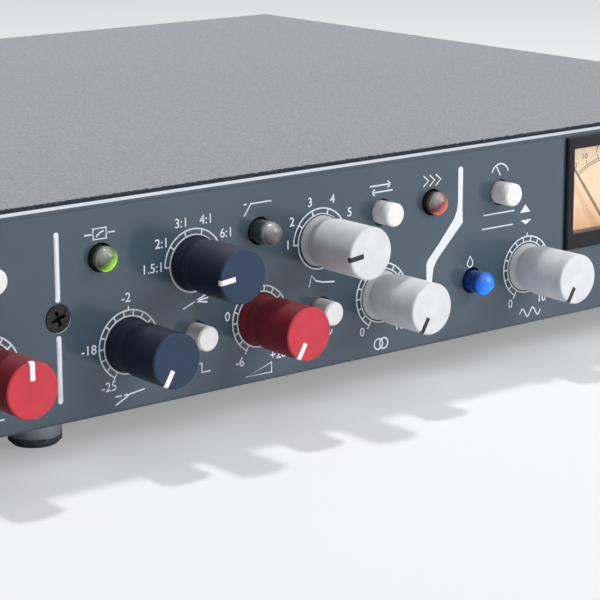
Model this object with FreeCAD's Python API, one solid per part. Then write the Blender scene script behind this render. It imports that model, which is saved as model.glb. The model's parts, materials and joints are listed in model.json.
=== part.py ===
import FreeCAD, Part
import math
import os

from FreeCAD import Vector

# Rack compressor, one rack unit high: a 19-inch aluminium front panel on a
# folded steel case, with turning controls, push buttons, a needle meter and
# a rocker power switch.
#
# Millimetres.  X runs along the panel to the right, Y goes back into the
# case, Z is up.  The origin is on the floor, under the middle of the whole
# unit's outline.  Control places are given on the panel: x from the panel's
# middle and z from its bottom edge.

# ---------------------------------------------------------------- panel
PANEL_WIDTH = 482.6             # 19 inch
PANEL_HEIGHT = 43.66            # one rack unit, less the running gap
PANEL_THICKNESS = 3.2
PANEL_BEVEL = 0.4
RACK_SPACING_X = 465.1
RACK_SPACING_Z = 31.75
SLOT_HEIGHT = 6.8
SLOT_LENGTH = 10.3

# ---------------------------------------------------------------- case
CASE_WIDTH = 440.0
CASE_DEPTH = 235.0              # behind the panel
TRAY_SHEET = 1.5
TRAY_BEND = 2.5                 # outer bend radius
TRAY_LIFT = 0.8                 # tray bottom above the panel's bottom edge
TRAY_TOP_GAP = 2.2              # tray wall below the panel's top edge
TRAY_TAB = 13.0                 # front tabs that the panel screws into
COVER_SHEET = 1.2
COVER_BEND = 1.6
COVER_STAND = 0.3               # cover top above the panel's top edge
COVER_SKIRT = 12.0
COVER_LIP = 2.3                 # height of the front and rear lips
COVER_FRONT_GAP = 1.2           # behind the panel
FIT = 0.15                      # between sheets that nest
FOOT_RADIUS = 5.6
FOOT_CHAMFER = 0.9
FOOT_HEIGHT = 8.9
FOOT_SET_BACK = 16.3            # foot centre behind the panel face
FOOT_FROM_SIDE = 15.0
MIDDLE_FOOT_X = -12.6

# ---------------------------------------------------------------- right end
METER_LEFT = 124.2
METER_WIDTH = 45.0
LEVEL_GAP = 11.8                # output level knob, right of the meter
LEVEL_X = METER_LEFT + METER_WIDTH + LEVEL_GAP

# ---------------------------------------------------------------- knobs
LOWER = 13.76                   # height of the lower row of knobs
UPPER = 28.43                   # height of the upper row
KNOB_REACH = 16.69              # cap in front of the panel
KNOB_RADIUS = 5.69
KNOB_REAR_RADIUS = 5.2
KNOB_TAPER_END = 5.2            # in front of the panel
KNOB_REAR = 2.2                 # knob's back edge in front of the panel
KNOB_BEVEL = 0.3
SHAFT_RADIUS = 3.0
SHAFT_FLAT = 1.5                # depth of the D flat, off the round
SHAFT_IN_KNOB = 10.0
POINTER_WIDTH = 1.1
POINTER_DEPTH = 0.25
POINTER_INNER = 2.0             # pointer's inner end, from the knob's axis
POINTER_WRAP = 0.9              # how far it runs over the cap's edge
NUT_COVER_RADIUS = 5.61
NUT_COVER_TOP_RADIUS = 5.0
NUT_COVER_HEIGHT = 1.8
BUSHING_WALL = 0.5              # bushing round the shaft
BUSHING_REACH = 1.5             # bushing's end in front of the panel
SHAFT_PLAY = 0.1                # radial, shaft in bushing
THREAD_PLAY = 0.06              # radial, bushing in nut cover and in panel
POT_WIDTH = 11.0
POT_POCKET = 2.0                # shaft's end inside the body
POT_GAP = 0.5                   # body behind the panel

# name, x, height, colour, pointer's resting angle clockwise from the top
KNOBS = (
    ("input_gain_knob", -150.15, LOWER, "red", -150.0),
    ("input_trim_knob", -133.40, UPPER, "white", 0.0),
    ("highpass_knob", -116.65, LOWER, "blue", -150.0),
    ("low_gain_knob", -83.15, UPPER, "white", 0.0),
    ("mid_gain_knob", -66.40, LOWER, "white", 0.0),
    ("mid_frequency_knob", -49.65, UPPER, "blue", 0.0),
    ("high_gain_knob", -32.90, LOWER, "red", 0.0),
    ("threshold_knob", 0.30, LOWER, "blue", -150.0),
    ("ratio_knob", 16.95, UPPER, "blue", -96.0),
    ("makeup_gain_knob", 33.80, LOWER, "red", -150.0),
    ("timing_knob", 50.40, UPPER, "white", -97.0),
    ("blend_knob", 67.70, LOWER, "white", -150.0),
    ("texture_knob", 112.10, LOWER, "white", -150.0),
    ("output_level_knob", LEVEL_X, LOWER, "white", 0.0),
)

# ---------------------------------------------------------------- buttons
BUTTON_LOW = 13.1
BUTTON_HIGH = 32.85
FLAT_HIGH = 32.5                # flat buttons hang a little in their holes
BUTTON_PLAY = 0.4               # radial, widest button in its hole
FLAT_RADIUS = 2.62
FLAT_REACH = 4.7
FLAT_BEVEL = 0.35
DOME_BARREL = 2.55
DOME_RADIUS = 2.38
DOME_SHOULDER = 4.4             # where the dome starts, in front of the panel
DOME_RISE = 1.6
BUTTON_TAIL = 1.0               # round part behind the panel
BUTTON_TRAVEL = 2.2
STEM_SIZE = 2.8
STEM_PLAY = 0.3
STEM_IN_SWITCH = 3.0
SWITCH_SIZE = 7.4

# name, x, height, form, and whether it is latched in at rest
BUTTONS = (
    ("phantom_button", -150.15, BUTTON_HIGH, "dome", False),
    ("polarity_button", -133.40, BUTTON_LOW, "flat", False),
    ("highpass_button", -116.65, BUTTON_HIGH, "dome", False),
    ("equaliser_button", -83.15, BUTTON_LOW, "dome", False),
    ("high_shelf_button", -32.90, FLAT_HIGH, "flat", False),
    ("compressor_button", -6.10, BUTTON_HIGH, "dome", True),
    ("insert_button", 16.95, BUTTON_LOW, "flat", False),
    ("sidechain_filter_button", 33.80, BUTTON_HIGH, "dome", False),
    ("detector_button", 50.40, BUTTON_LOW, "flat", False),
    ("order_button", 67.60, FLAT_HIGH, "flat", False),
    ("fast_button", 82.40, BUTTON_HIGH, "dome", True),
    ("colour_button", 94.90, BUTTON_LOW, "dome", False),
    ("meter_button", 103.30, FLAT_HIGH, "flat", False),
)

# ---------------------------------------------------------------- boards
BOARD_GAP = 12.0                # panel back to control board
BOARD_THICKNESS = 1.6
BOARD_BOTTOM = 4.0              # above the panel's bottom edge
BOARD_TOP = 39.5
CONTROL_BOARD_LEFT = -162.0
CONTROL_BOARD_RIGHT = 120.5
LEVEL_BOARD_WIDTH = 16.5
MAIN_BOARD_LIFT = 6.0           # above the tray floor
MAIN_BOARD_LEFT = -200.0
MAIN_BOARD_RIGHT = 84.0
MAIN_BOARD_FRONT = 34.0         # behind the panel's back
MAIN_BOARD_REAR = 30.0          # short of the rear panel
SPACER_FLATS = 5.5
SPACER_INSET = 8.0

# ---------------------------------------------------------------- screws
PANEL_SCREW_X = (-99.9, -16.4)  # into pillars that carry the control board
PANEL_SCREW_Z = 21.85
PANEL_SCREW_RADIUS = 1.5
PANEL_SCREW_HEAD = 2.75
PANEL_SCREW_LENGTH = 9.0
COUNTERSINK_RIM = 0.3           # wider than the head
SEAT_PLAY = 0.05                # between the head and its cone
PILLAR_FLATS = 6.0
CASE_SCREW_HEAD = 2.8
CASE_SCREW_HEAD_HEIGHT = 1.6
CASE_SCREW_SHANK = 1.4
CASE_SCREW_LENGTH = 4.0
CASE_SCREW_COUNT = 3            # down each side
CASE_SCREW_END = 32.0           # from the case's front and rear
CASE_SCREW_DROP = 7.5           # below the cover's top

# ---------------------------------------------------------------- meter
METER_BOTTOM = 16.0
METER_HEIGHT = 26.8
METER_REACH = 1.0               # bezel in front of the panel
METER_FRAME = 2.0               # bezel's width at the sides
METER_SILL = 3.7                # bezel's width at the bottom
METER_BROW = 2.75               # bezel's width at the top
METER_LIP = 1.0                 # bezel over the edge of the panel's cut-out
METER_DEPTH = 26.0              # body behind the panel
METER_BODY_BOTTOM = 4.0
METER_ROOF = 0.85               # body's wall above the window
METER_WALL = 1.0
GLASS_THICKNESS = 1.0
GLASS_SET_BACK = 0.8
GLASS_EDGE = 0.6                # glass hidden behind the bezel, each side
DIAL_SET_BACK = 7.6
DIAL_THICKNESS = 0.6
PIVOT_HEIGHT = 15.6
NEEDLE_CLEAR = 0.75             # tip below the window's top edge, upright
NEEDLE_TAIL = 3.0
NEEDLE_ROOT = 0.7               # width at the hub
NEEDLE_TIP = 0.35
NEEDLE_THICKNESS = 0.4
NEEDLE_SET_BACK = 5.6
NEEDLE_REST = -37.0             # from upright
HUB_RADIUS = 1.7
PIVOT_RADIUS = 0.6
PIVOT_PLAY = 0.08
PIVOT_IN_MOVEMENT = 4.0
MOVEMENT_WIDTH = 22.0
MOVEMENT_HEIGHT = 17.0
MOVEMENT_DEPTH = 13.0

# ---------------------------------------------------------------- power switch
POWER_GAP = 17.5                # right of the level knob
POWER_Z = 21.83
POWER_WIDTH = 13.0
POWER_HEIGHT = 19.4
POWER_FLANGE = 1.1
POWER_FLANGE_THICKNESS = 1.5
POWER_DEPTH = 15.0
POWER_WALL = 1.2
ROCKER_PLAY = 0.4
ROCKER_SWEEP = 8.0              # radius that the rocker's ends turn in
ROCKER_PIVOT = 3.0              # behind the panel face
ROCKER_RIDGE = 2.0              # ridge in front of the panel face, set level
ROCKER_ANGLE = 9.0              # either side of level
ROCKER_PIN_RADIUS = 1.2

# ---------------------------------------------------------------- connectors
JACK_X = -186.0
JACK_Z = 21.83
JACK_BORE = 3.25
JACK_BUSHING = 5.6
JACK_REACH = 3.0
JACK_NUT_FLATS = 14.0
JACK_NUT_HEIGHT = 2.0
JACK_BODY = 15.0
JACK_DEPTH = 27.0
JACK_BORE_DEPTH = 26.0
XLR_Z = 21.5
XLR_INPUT_X = -170.0
XLR_OUTPUT_X = -95.0
XLR_FLANGE_WIDTH = 26.0
XLR_FLANGE_HEIGHT = 31.0
XLR_FLANGE_THICKNESS = 2.0
XLR_BODY_RADIUS = 11.8
XLR_DEPTH = 20.0
XLR_CUP_RADIUS = 9.5
XLR_CUP_DEPTH = 16.0
XLR_PIN_RADIUS = 1.2
XLR_PIN_CIRCLE = 5.0
XLR_PIN_LENGTH = 10.0
XLR_INSERT_RADIUS = 8.0
XLR_HOLE_RADIUS = 1.4
INLET_X = 170.0
INLET_Z = 21.5
INLET_WIDTH = 31.0
INLET_HEIGHT = 25.0
INLET_FLANGE = 2.5
INLET_BODY_WIDTH = 27.6
INLET_BODY_HEIGHT = 20.6
INLET_DEPTH = 20.0
INLET_CAVITY_WIDTH = 24.4
INLET_CAVITY_HEIGHT = 16.8
INLET_CAVITY_DEPTH = 17.0
INLET_CORNER = 4.5
INLET_BLADE = (2.0, 11.0, 4.0)  # width, length, height

# ---------------------------------------------------------------- inside
TOROID_RADIUS = 38.0
TOROID_HOLE = 9.0
TOROID_HEIGHT = 30.0
TOROID_X = 150.0
TOROID_FROM_REAR = 78.0
TOROID_BOLT_RADIUS = 3.0
TOROID_WASHER_RADIUS = 20.0
TOROID_WASHER = 1.5
TRANSFORMER_RADIUS = 11.0
TRANSFORMER_HEIGHT = 24.0
TRANSFORMER_X = (-150.0, -95.0)
TRANSFORMER_FROM_REAR = 62.0
CAPACITOR_RADIUS = 6.3
CAPACITOR_HEIGHT = 22.0
CAPACITOR_X = (20.0, 38.0, 56.0)
CAPACITOR_FROM_REAR = 60.0

# ---------------------------------------------------------------- worked out
LIFT = FOOT_HEIGHT - TRAY_LIFT              # panel's bottom edge above the floor
CASE_REAR = PANEL_THICKNESS + CASE_DEPTH    # behind the panel face
REAR_REACH = CASE_REAR + INLET_FLANGE
FACE = (KNOB_REACH - REAR_REACH) / 2.0      # panel face, with the outline centred
BUSHING_RADIUS = SHAFT_RADIUS + BUSHING_WALL
BUTTON_HOLE_RADIUS = max(FLAT_RADIUS, DOME_BARREL) + BUTTON_PLAY
WINDOW_TOP = METER_BOTTOM + METER_HEIGHT - METER_BROW
METER_BODY_TOP = WINDOW_TOP + METER_ROOF
NEEDLE_LENGTH = WINDOW_TOP - NEEDLE_CLEAR - PIVOT_HEIGHT
POWER_X = LEVEL_X + POWER_GAP
PANEL_BACK = FACE + PANEL_THICKNESS
BOARD_FACE = PANEL_BACK + BOARD_GAP
REAR_FACE = FACE + CASE_REAR
TRAY_FLOOR = LIFT + TRAY_LIFT + TRAY_SHEET
TRAY_TOP = LIFT + PANEL_HEIGHT - TRAY_TOP_GAP
COVER_TOP = LIFT + PANEL_HEIGHT + COVER_STAND
COVER_HALF = CASE_WIDTH / 2.0 + FIT + COVER_SHEET
TAB_SCREW_X = CASE_WIDTH / 2.0 - TRAY_SHEET - TRAY_TAB / 2.0 + 1.0


# ---------------------------------------------------------------- shapes
def box(x0, x1, y0, y1, z0, z1):
    return Part.makeBox(x1 - x0, y1 - y0, z1 - z0, Vector(x0, y0, z0))


def centred_box(x, z, width, height, y0, y1):
    return box(x - width / 2.0, x + width / 2.0, y0, y1, z - height / 2.0, z + height / 2.0)


def rod_y(x, z, radius, y0, y1):
    return Part.makeCylinder(radius, y1 - y0, Vector(x, y0, z), Vector(0, 1, 0))


def rod_z(x, y, radius, z0, z1):
    return Part.makeCylinder(radius, z1 - z0, Vector(x, y, z0), Vector(0, 0, 1))


def face_of(points):
    """A flat face with straight sides through the points."""
    return Part.Face(Part.makePolygon([Vector(*p) for p in points] + [Vector(*points[0])]))


def turned_y(x, z, outline):
    """A solid turned about a line along Y; the outline holds (y, radius)."""
    points = [(x + radius, y, z) for y, radius in outline]
    return face_of(points).revolve(Vector(x, 0, z), Vector(0, 1, 0), 360.0)


def turned_z(x, y, outline):
    """A solid turned about an upright line; the outline holds (z, radius)."""
    points = [(x + radius, y, z) for z, radius in outline]
    return face_of(points).revolve(Vector(x, y, 0), Vector(0, 0, 1), 360.0)


def hexagon_y(x, z, flats, y0, y1):
    corner = flats / math.sqrt(3.0)
    points = [(x + corner * math.cos(math.radians(60 * i)), y0,
               z + corner * math.sin(math.radians(60 * i))) for i in range(6)]
    return face_of(points).extrude(Vector(0, y1 - y0, 0))


def hexagon_z(x, y, flats, z0, z1):
    corner = flats / math.sqrt(3.0)
    points = [(x + corner * math.cos(math.radians(60 * i)),
               y + corner * math.sin(math.radians(60 * i)), z0) for i in range(6)]
    return face_of(points).extrude(Vector(0, 0, z1 - z0))


def folded_sheet(across, start, length, half, top, drop, sheet, bend):
    """Sheet folded down along both long edges, with round outer corners.

    It runs for the length along Y when across is X, or along X when across
    is Y; start is the low end of that run and half the outer half width.
    """
    def place(u, z):
        return Vector(u, start, z) if across == "X" else Vector(start, u, z)

    inner = max(bend - sheet, 0.05)
    corner = math.sqrt(0.5)
    edges = []

    def line(a, b):
        edges.append(Part.LineSegment(place(*a), place(*b)).toShape())

    def arc(centre, radius, side, turn_out):
        u, z = centre
        ends = [(u + side * radius, z), (u, z + radius)]
        middle = (u + side * radius * corner, z + radius * corner)
        first, last = ends if turn_out else ends[::-1]
        edges.append(Part.Arc(place(*first), place(*middle), place(*last)).toShape())

    low = top - drop
    centre = top - bend
    line((-half, low), (-half, centre))
    arc((-half + bend, centre), bend, -1, True)
    line((-half + bend, top), (half - bend, top))
    arc((half - bend, centre), bend, 1, False)
    line((half, centre), (half, low))
    line((half, low), (half - sheet, low))
    line((half - sheet, low), (half - sheet, centre))
    arc((half - bend, centre), inner, 1, True)
    line((half - bend, centre + inner), (-half + bend, centre + inner))
    arc((-half + bend, centre), inner, -1, False)
    line((-half + sheet, centre), (-half + sheet, low))
    line((-half + sheet, low), (-half, low))
    run = Vector(0, length, 0) if across == "X" else Vector(length, 0, 0)
    return Part.Face(Part.Wire(Part.__sortEdges__(edges))).extrude(run)


# ---------------------------------------------------------------- panel
def rack_slot(x, z):
    half = (SLOT_LENGTH - SLOT_HEIGHT) / 2.0
    ends = [rod_y(x + side * half, z, SLOT_HEIGHT / 2.0, FACE - 1, PANEL_BACK + 1)
            for side in (-1, 1)]
    middle = centred_box(x, z, 2 * half, SLOT_HEIGHT, FACE - 1, PANEL_BACK + 1)
    return middle.fuse(ends)


def panel_screw_places():
    """x and z of every countersunk screw in the panel."""
    ends = [(side * TAB_SCREW_X, LIFT + PANEL_SCREW_Z) for side in (-1, 1)]
    return [(x, LIFT + PANEL_SCREW_Z) for x in PANEL_SCREW_X] + ends


def countersink(x, z):
    """Cone and clearance hole for one panel screw."""
    rim = PANEL_SCREW_HEAD + COUNTERSINK_RIM
    clear = PANEL_SCREW_RADIUS + 0.2
    depth = rim - clear
    return turned_y(x, z, [(FACE - 1, 0), (FACE - 1, rim), (FACE, rim), (FACE + depth, clear),
                           (PANEL_BACK + 1, clear), (PANEL_BACK + 1, 0)])


def make_front_panel():
    low, high = LIFT, LIFT + PANEL_HEIGHT
    half = PANEL_WIDTH / 2.0
    outline = [(-half, FACE + PANEL_BEVEL, low), (-half, FACE, low + PANEL_BEVEL),
               (-half, FACE, high - PANEL_BEVEL), (-half, FACE + PANEL_BEVEL, high),
               (-half, PANEL_BACK, high), (-half, PANEL_BACK, low)]
    plate = face_of(outline).extrude(Vector(PANEL_WIDTH, 0, 0))
    front, back = FACE - 1, PANEL_BACK + 1
    holes = [rod_y(x, LIFT + z, BUSHING_RADIUS + THREAD_PLAY, front, back)
             for _, x, z, _, _ in KNOBS]
    holes += [rod_y(x, LIFT + z, BUTTON_HOLE_RADIUS, front, back) for _, x, z, _, _ in BUTTONS]
    holes += [countersink(x, z) for x, z in panel_screw_places()]
    holes += [rack_slot(side * RACK_SPACING_X / 2.0,
                        LIFT + PANEL_HEIGHT / 2.0 + up * RACK_SPACING_Z / 2.0)
              for side in (-1, 1) for up in (-1, 1)]
    holes.append(rod_y(JACK_X, LIFT + JACK_Z, JACK_BUSHING + FIT, front, back))
    holes.append(centred_box(POWER_X, LIFT + POWER_Z, POWER_WIDTH + 2 * FIT,
                             POWER_HEIGHT + 2 * FIT, front, back))
    x0, x1, z0, z1 = meter_neck(FIT)
    holes.append(box(x0, x1, front, back, z0, z1))
    return plate.cut(holes)


def make_panel_screws():
    screws = []
    for x, z in panel_screw_places():
        head, shank = PANEL_SCREW_HEAD, PANEL_SCREW_RADIUS
        front = FACE + COUNTERSINK_RIM - SEAT_PLAY
        screw = turned_y(x, z, [(front, 0), (front, head), (front + head - shank, shank),
                                (FACE + PANEL_SCREW_LENGTH, shank),
                                (FACE + PANEL_SCREW_LENGTH, 0)])
        slots = [centred_box(x, z, 3.2, 0.6, front - 1, front + 0.9),
                 centred_box(x, z, 0.6, 3.2, front - 1, front + 0.9)]
        screw = screw.cut(slots)
        screws.append(screw.rotate(Vector(x, front, z), Vector(0, 1, 0), 45.0))
    return screws


def make_panel_pillars():
    pillars = []
    for x in PANEL_SCREW_X:
        z = LIFT + PANEL_SCREW_Z
        bore = rod_y(x, z, PANEL_SCREW_RADIUS + THREAD_PLAY, PANEL_BACK - 1,
                     FACE + PANEL_SCREW_LENGTH + 0.5)
        pillars.append(hexagon_y(x, z, PILLAR_FLATS, PANEL_BACK, BOARD_FACE).cut(bore))
    return pillars


# ---------------------------------------------------------------- case
def side_screw_places():
    """y of the screws down each side of the cover."""
    first, last = PANEL_BACK + CASE_SCREW_END, REAR_FACE - CASE_SCREW_END
    step = (last - first) / (CASE_SCREW_COUNT - 1)
    return [first + i * step for i in range(CASE_SCREW_COUNT)]


def make_case_screws():
    """Pan-head screws through the cover's skirts into the tray's walls."""
    z = COVER_TOP - CASE_SCREW_DROP
    screws = []
    for side in (-1, 1):
        for y in side_screw_places():
            out = Vector(side, 0, 0)
            seat = Vector(side * COVER_HALF, y, z)
            head = Part.makeCylinder(CASE_SCREW_HEAD, CASE_SCREW_HEAD_HEIGHT, seat, out)
            shank = Part.makeCylinder(CASE_SCREW_SHANK, CASE_SCREW_LENGTH, seat, out * -1)
            screws.append(head.fuse(shank))
    return screws


def side_screw_bores(radius):
    z = COVER_TOP - CASE_SCREW_DROP
    reach = 2 * COVER_HALF + 2
    return [Part.makeCylinder(radius, reach, Vector(-COVER_HALF - 1, y, z), Vector(1, 0, 0))
            for y in side_screw_places()]


def make_chassis_tray():
    """Floor and side walls in one fold, with tabs behind the panel's ends."""
    half = CASE_WIDTH / 2.0
    floor = LIFT + TRAY_LIFT
    sheet = folded_sheet("X", PANEL_BACK, CASE_DEPTH, half, 0.0, TRAY_TOP - floor,
                         TRAY_SHEET, TRAY_BEND)
    sheet.rotate(Vector(0, 0, 0), Vector(0, 1, 0), 180.0)
    sheet.translate(Vector(0, 0, floor))
    tabs = []
    for side in (-1, 1):
        outer = side * (half - TRAY_SHEET / 2.0)
        inner = side * (half - TRAY_SHEET - TRAY_TAB)
        tabs.append(box(min(outer, inner), max(outer, inner), PANEL_BACK,
                        PANEL_BACK + TRAY_SHEET, TRAY_FLOOR - TRAY_SHEET / 2.0, TRAY_TOP))
    tray = sheet.fuse(tabs)
    holes = [rod_y(side * TAB_SCREW_X, LIFT + PANEL_SCREW_Z, PANEL_SCREW_RADIUS + THREAD_PLAY,
                   PANEL_BACK - 1, PANEL_BACK + TRAY_SHEET + 1) for side in (-1, 1)]
    bolt = rod_z(TOROID_X, toroid_y(), TOROID_BOLT_RADIUS + THREAD_PLAY,
                 floor - 1, TRAY_FLOOR + 1)
    return tray.cut(holes + [bolt] + side_screw_bores(CASE_SCREW_SHANK + THREAD_PLAY))


def make_top_cover():
    """Lid folded on all four sides: long skirts and short front and rear lips."""
    front = PANEL_BACK + COVER_FRONT_GAP
    rear = REAR_FACE + FIT + COVER_SHEET
    skirts = folded_sheet("X", front + COVER_BEND, rear - front - 2 * COVER_BEND, COVER_HALF,
                          COVER_TOP, COVER_SKIRT, COVER_SHEET, COVER_BEND)
    middle = (front + rear) / 2.0
    lips = folded_sheet("Y", -COVER_HALF + COVER_BEND, 2 * (COVER_HALF - COVER_BEND),
                        (rear - front) / 2.0, COVER_TOP, COVER_LIP, COVER_SHEET, COVER_BEND)
    lips.translate(Vector(0, middle, 0))
    cover = skirts.fuse(lips)
    cover = cover.cut(side_screw_bores(CASE_SCREW_SHANK + THREAD_PLAY))
    return cover.removeSplitter()


def make_rear_panel():
    """Plate between the side walls, folded forward along its bottom edge."""
    half = CASE_WIDTH / 2.0 - TRAY_SHEET - FIT
    bend = TRAY_BEND - TRAY_SHEET
    plate = box(-half, half, REAR_FACE - TRAY_SHEET, REAR_FACE, TRAY_FLOOR + bend + FIT,
                TRAY_TOP)
    foot = box(-half + TRAY_BEND, half - TRAY_BEND, REAR_FACE - 12.0, REAR_FACE, TRAY_FLOOR,
               TRAY_FLOOR + TRAY_SHEET)
    front, back = REAR_FACE - TRAY_SHEET - 1, REAR_FACE + 1
    holes = [rod_y(x, LIFT + XLR_Z, XLR_BODY_RADIUS + FIT, front, back)
             for x in (XLR_INPUT_X, XLR_OUTPUT_X)]
    holes.append(centred_box(INLET_X, LIFT + INLET_Z, INLET_BODY_WIDTH + 2 * FIT,
                             INLET_BODY_HEIGHT + 2 * FIT, front, back))
    relief = [rod_y(x, LIFT + XLR_Z, XLR_BODY_RADIUS + 2 * FIT, REAR_FACE - 13, front)
              for x in (XLR_INPUT_X, XLR_OUTPUT_X)]
    return plate.fuse(foot).cut(holes + relief)


def make_feet():
    """Round bumpers with a chamfered tread, stuck under the tray."""
    y_front = FACE + FOOT_SET_BACK
    y_rear = REAR_FACE - FOOT_SET_BACK + PANEL_THICKNESS
    x_side = CASE_WIDTH / 2.0 - FOOT_FROM_SIDE
    places = [(-x_side, y_front), (MIDDLE_FOOT_X, y_front), (x_side, y_front),
              (-x_side, y_rear), (x_side, y_rear)]
    outline = [(0.0, 0.0), (0.0, FOOT_RADIUS - FOOT_CHAMFER), (FOOT_CHAMFER, FOOT_RADIUS),
               (FOOT_HEIGHT, FOOT_RADIUS), (FOOT_HEIGHT, 0.0)]
    return [turned_z(x, y, outline) for x, y in places]


# ---------------------------------------------------------------- knobs
def knob_shaft(x, z):
    """Potentiometer shaft: round in its bushing, D-shaped in the knob."""
    rear = PANEL_BACK + POT_GAP + POT_POCKET
    front = FACE - KNOB_REAR - SHAFT_IN_KNOB
    shaft = rod_y(x, z, SHAFT_RADIUS, front, rear)
    flat = centred_box(x, z + SHAFT_RADIUS, 2 * SHAFT_RADIUS, 2 * SHAFT_FLAT,
                       front - 1, FACE - KNOB_REAR - 0.5)
    return shaft.cut(flat)


def pointer_groove(x, z):
    """Inlay groove from near the cap's middle, over its edge, pointing up."""
    front = FACE - KNOB_REACH
    half = POINTER_WIDTH / 2.0
    top = z + KNOB_RADIUS + 1
    across = box(x - half, x + half, front - 1, front + POINTER_DEPTH, z + POINTER_INNER, top)
    down = box(x - half, x + half, front - 1, front + POINTER_WRAP,
               z + KNOB_RADIUS - POINTER_DEPTH, top)
    return across.fuse(down)


def make_knob(x, z, pointer):
    """Moulded knob with its pointer groove, pushed on the shaft that it turns."""
    front = FACE - KNOB_REACH
    body = turned_y(x, z, [(front, 0), (front, KNOB_RADIUS - KNOB_BEVEL),
                           (front + KNOB_BEVEL, KNOB_RADIUS),
                           (FACE - KNOB_TAPER_END, KNOB_RADIUS - 0.06),
                           (FACE - KNOB_REAR, KNOB_REAR_RADIUS), (FACE - KNOB_REAR, 0)])
    shaft = knob_shaft(x, z)
    body = body.cut([shaft, pointer_groove(x, z)])
    for piece in (body, shaft):
        piece.rotate(Vector(x, front, z), Vector(0, 1, 0), pointer)
    return [body, shaft]


def make_nut_cover(x, z):
    """Coned cover that hides the bushing's nut behind a knob."""
    bore = BUSHING_RADIUS + THREAD_PLAY
    return turned_y(x, z, [(FACE, bore), (FACE, NUT_COVER_RADIUS),
                           (FACE - NUT_COVER_HEIGHT, NUT_COVER_TOP_RADIUS),
                           (FACE - NUT_COVER_HEIGHT, bore)])


def make_potentiometer(x, z):
    """Square body on the control board with a threaded bushing."""
    front = PANEL_BACK + POT_GAP
    body = centred_box(x, z, POT_WIDTH, POT_WIDTH, front, BOARD_FACE)
    bushing = rod_y(x, z, BUSHING_RADIUS, FACE - BUSHING_REACH, front + 1)
    bore = rod_y(x, z, SHAFT_RADIUS + SHAFT_PLAY, FACE - BUSHING_REACH - 1,
                 front + POT_POCKET + SHAFT_PLAY)
    return body.fuse(bushing).cut(bore)


# ---------------------------------------------------------------- buttons
def button_stem(x, z, play, y0, y1):
    size = STEM_SIZE + 2 * play
    return centred_box(x, z, size, size, y0, y1)


def switch_front():
    return PANEL_BACK + BUTTON_TAIL + BUTTON_TRAVEL + 0.6


def with_stem(cap, x, z, rear, latched):
    """Cap and square stem in one, moved back by the travel when it is latched in."""
    button = cap.fuse(button_stem(x, z, 0.0, rear - 0.5, switch_front() + STEM_IN_SWITCH))
    button.translate(Vector(0, BUTTON_TRAVEL if latched else 0.0, 0))
    return button


def make_flat_button(x, z, latched):
    front = FACE - FLAT_REACH
    rear = PANEL_BACK + BUTTON_TAIL
    cap = turned_y(x, z, [(front, 0), (front, FLAT_RADIUS - FLAT_BEVEL),
                          (front + FLAT_BEVEL, FLAT_RADIUS), (rear, FLAT_RADIUS), (rear, 0)])
    return with_stem(cap, x, z, rear, latched)


def make_dome_button(x, z, latched):
    """Clear barrel with a domed end, so that the lamp behind it shows."""
    rear = PANEL_BACK + BUTTON_TAIL
    shoulder = FACE - DOME_SHOULDER
    tip = Vector(x, shoulder - DOME_RISE, z)
    lean = math.radians(50.0)
    knee = Vector(x + DOME_RADIUS * math.sin(lean), shoulder - DOME_RISE * math.cos(lean), z)
    side = Vector(x + DOME_RADIUS, shoulder, z)
    corners = [side, Vector(x + DOME_BARREL, shoulder, z), Vector(x + DOME_BARREL, rear, z),
               Vector(x, rear, z), tip]
    edges = [Part.Arc(tip, knee, side).toShape()]
    edges += [Part.LineSegment(a, b).toShape() for a, b in zip(corners, corners[1:])]
    outline = Part.Face(Part.Wire(edges))
    cap = outline.revolve(Vector(x, 0, z), Vector(0, 1, 0), 360.0)
    return with_stem(cap, x, z, rear, latched)


def make_push_switch(x, z):
    """Latching switch body with the pocket that its button's stem slides in."""
    front = switch_front()
    body = centred_box(x, z, SWITCH_SIZE, SWITCH_SIZE, front, BOARD_FACE)
    pocket = button_stem(x, z, STEM_PLAY, front - 1,
                         front + STEM_IN_SWITCH + BUTTON_TRAVEL + STEM_PLAY)
    return body.cut(pocket)


# ---------------------------------------------------------------- meter
def meter_neck(play):
    """Sides of the part of the meter that fills the panel's cut-out."""
    left = METER_LEFT + METER_LIP - play
    right = METER_LEFT + METER_WIDTH - METER_LIP + play
    low = LIFT + METER_BOTTOM + METER_LIP - play
    high = LIFT + METER_BOTTOM + METER_HEIGHT - METER_LIP + play
    return left, right, low, high


def meter_window(edge):
    """Sides of the meter's window, opened out by the edge."""
    left = METER_LEFT + METER_FRAME - edge
    right = METER_LEFT + METER_WIDTH - METER_FRAME + edge
    low = LIFT + METER_BOTTOM + METER_SILL - edge
    high = LIFT + METER_BOTTOM + METER_HEIGHT - METER_BROW + edge
    return left, right, low, high


def meter_cavity():
    """Sides of the space inside the meter's body."""
    x0, x1, _, z1 = meter_window(0.0)
    side = METER_FRAME - METER_LIP - METER_WALL
    return x0 - side, x1 + side, LIFT + METER_BODY_BOTTOM + METER_WALL, z1


def meter_centre():
    return METER_LEFT + METER_WIDTH / 2.0


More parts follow.
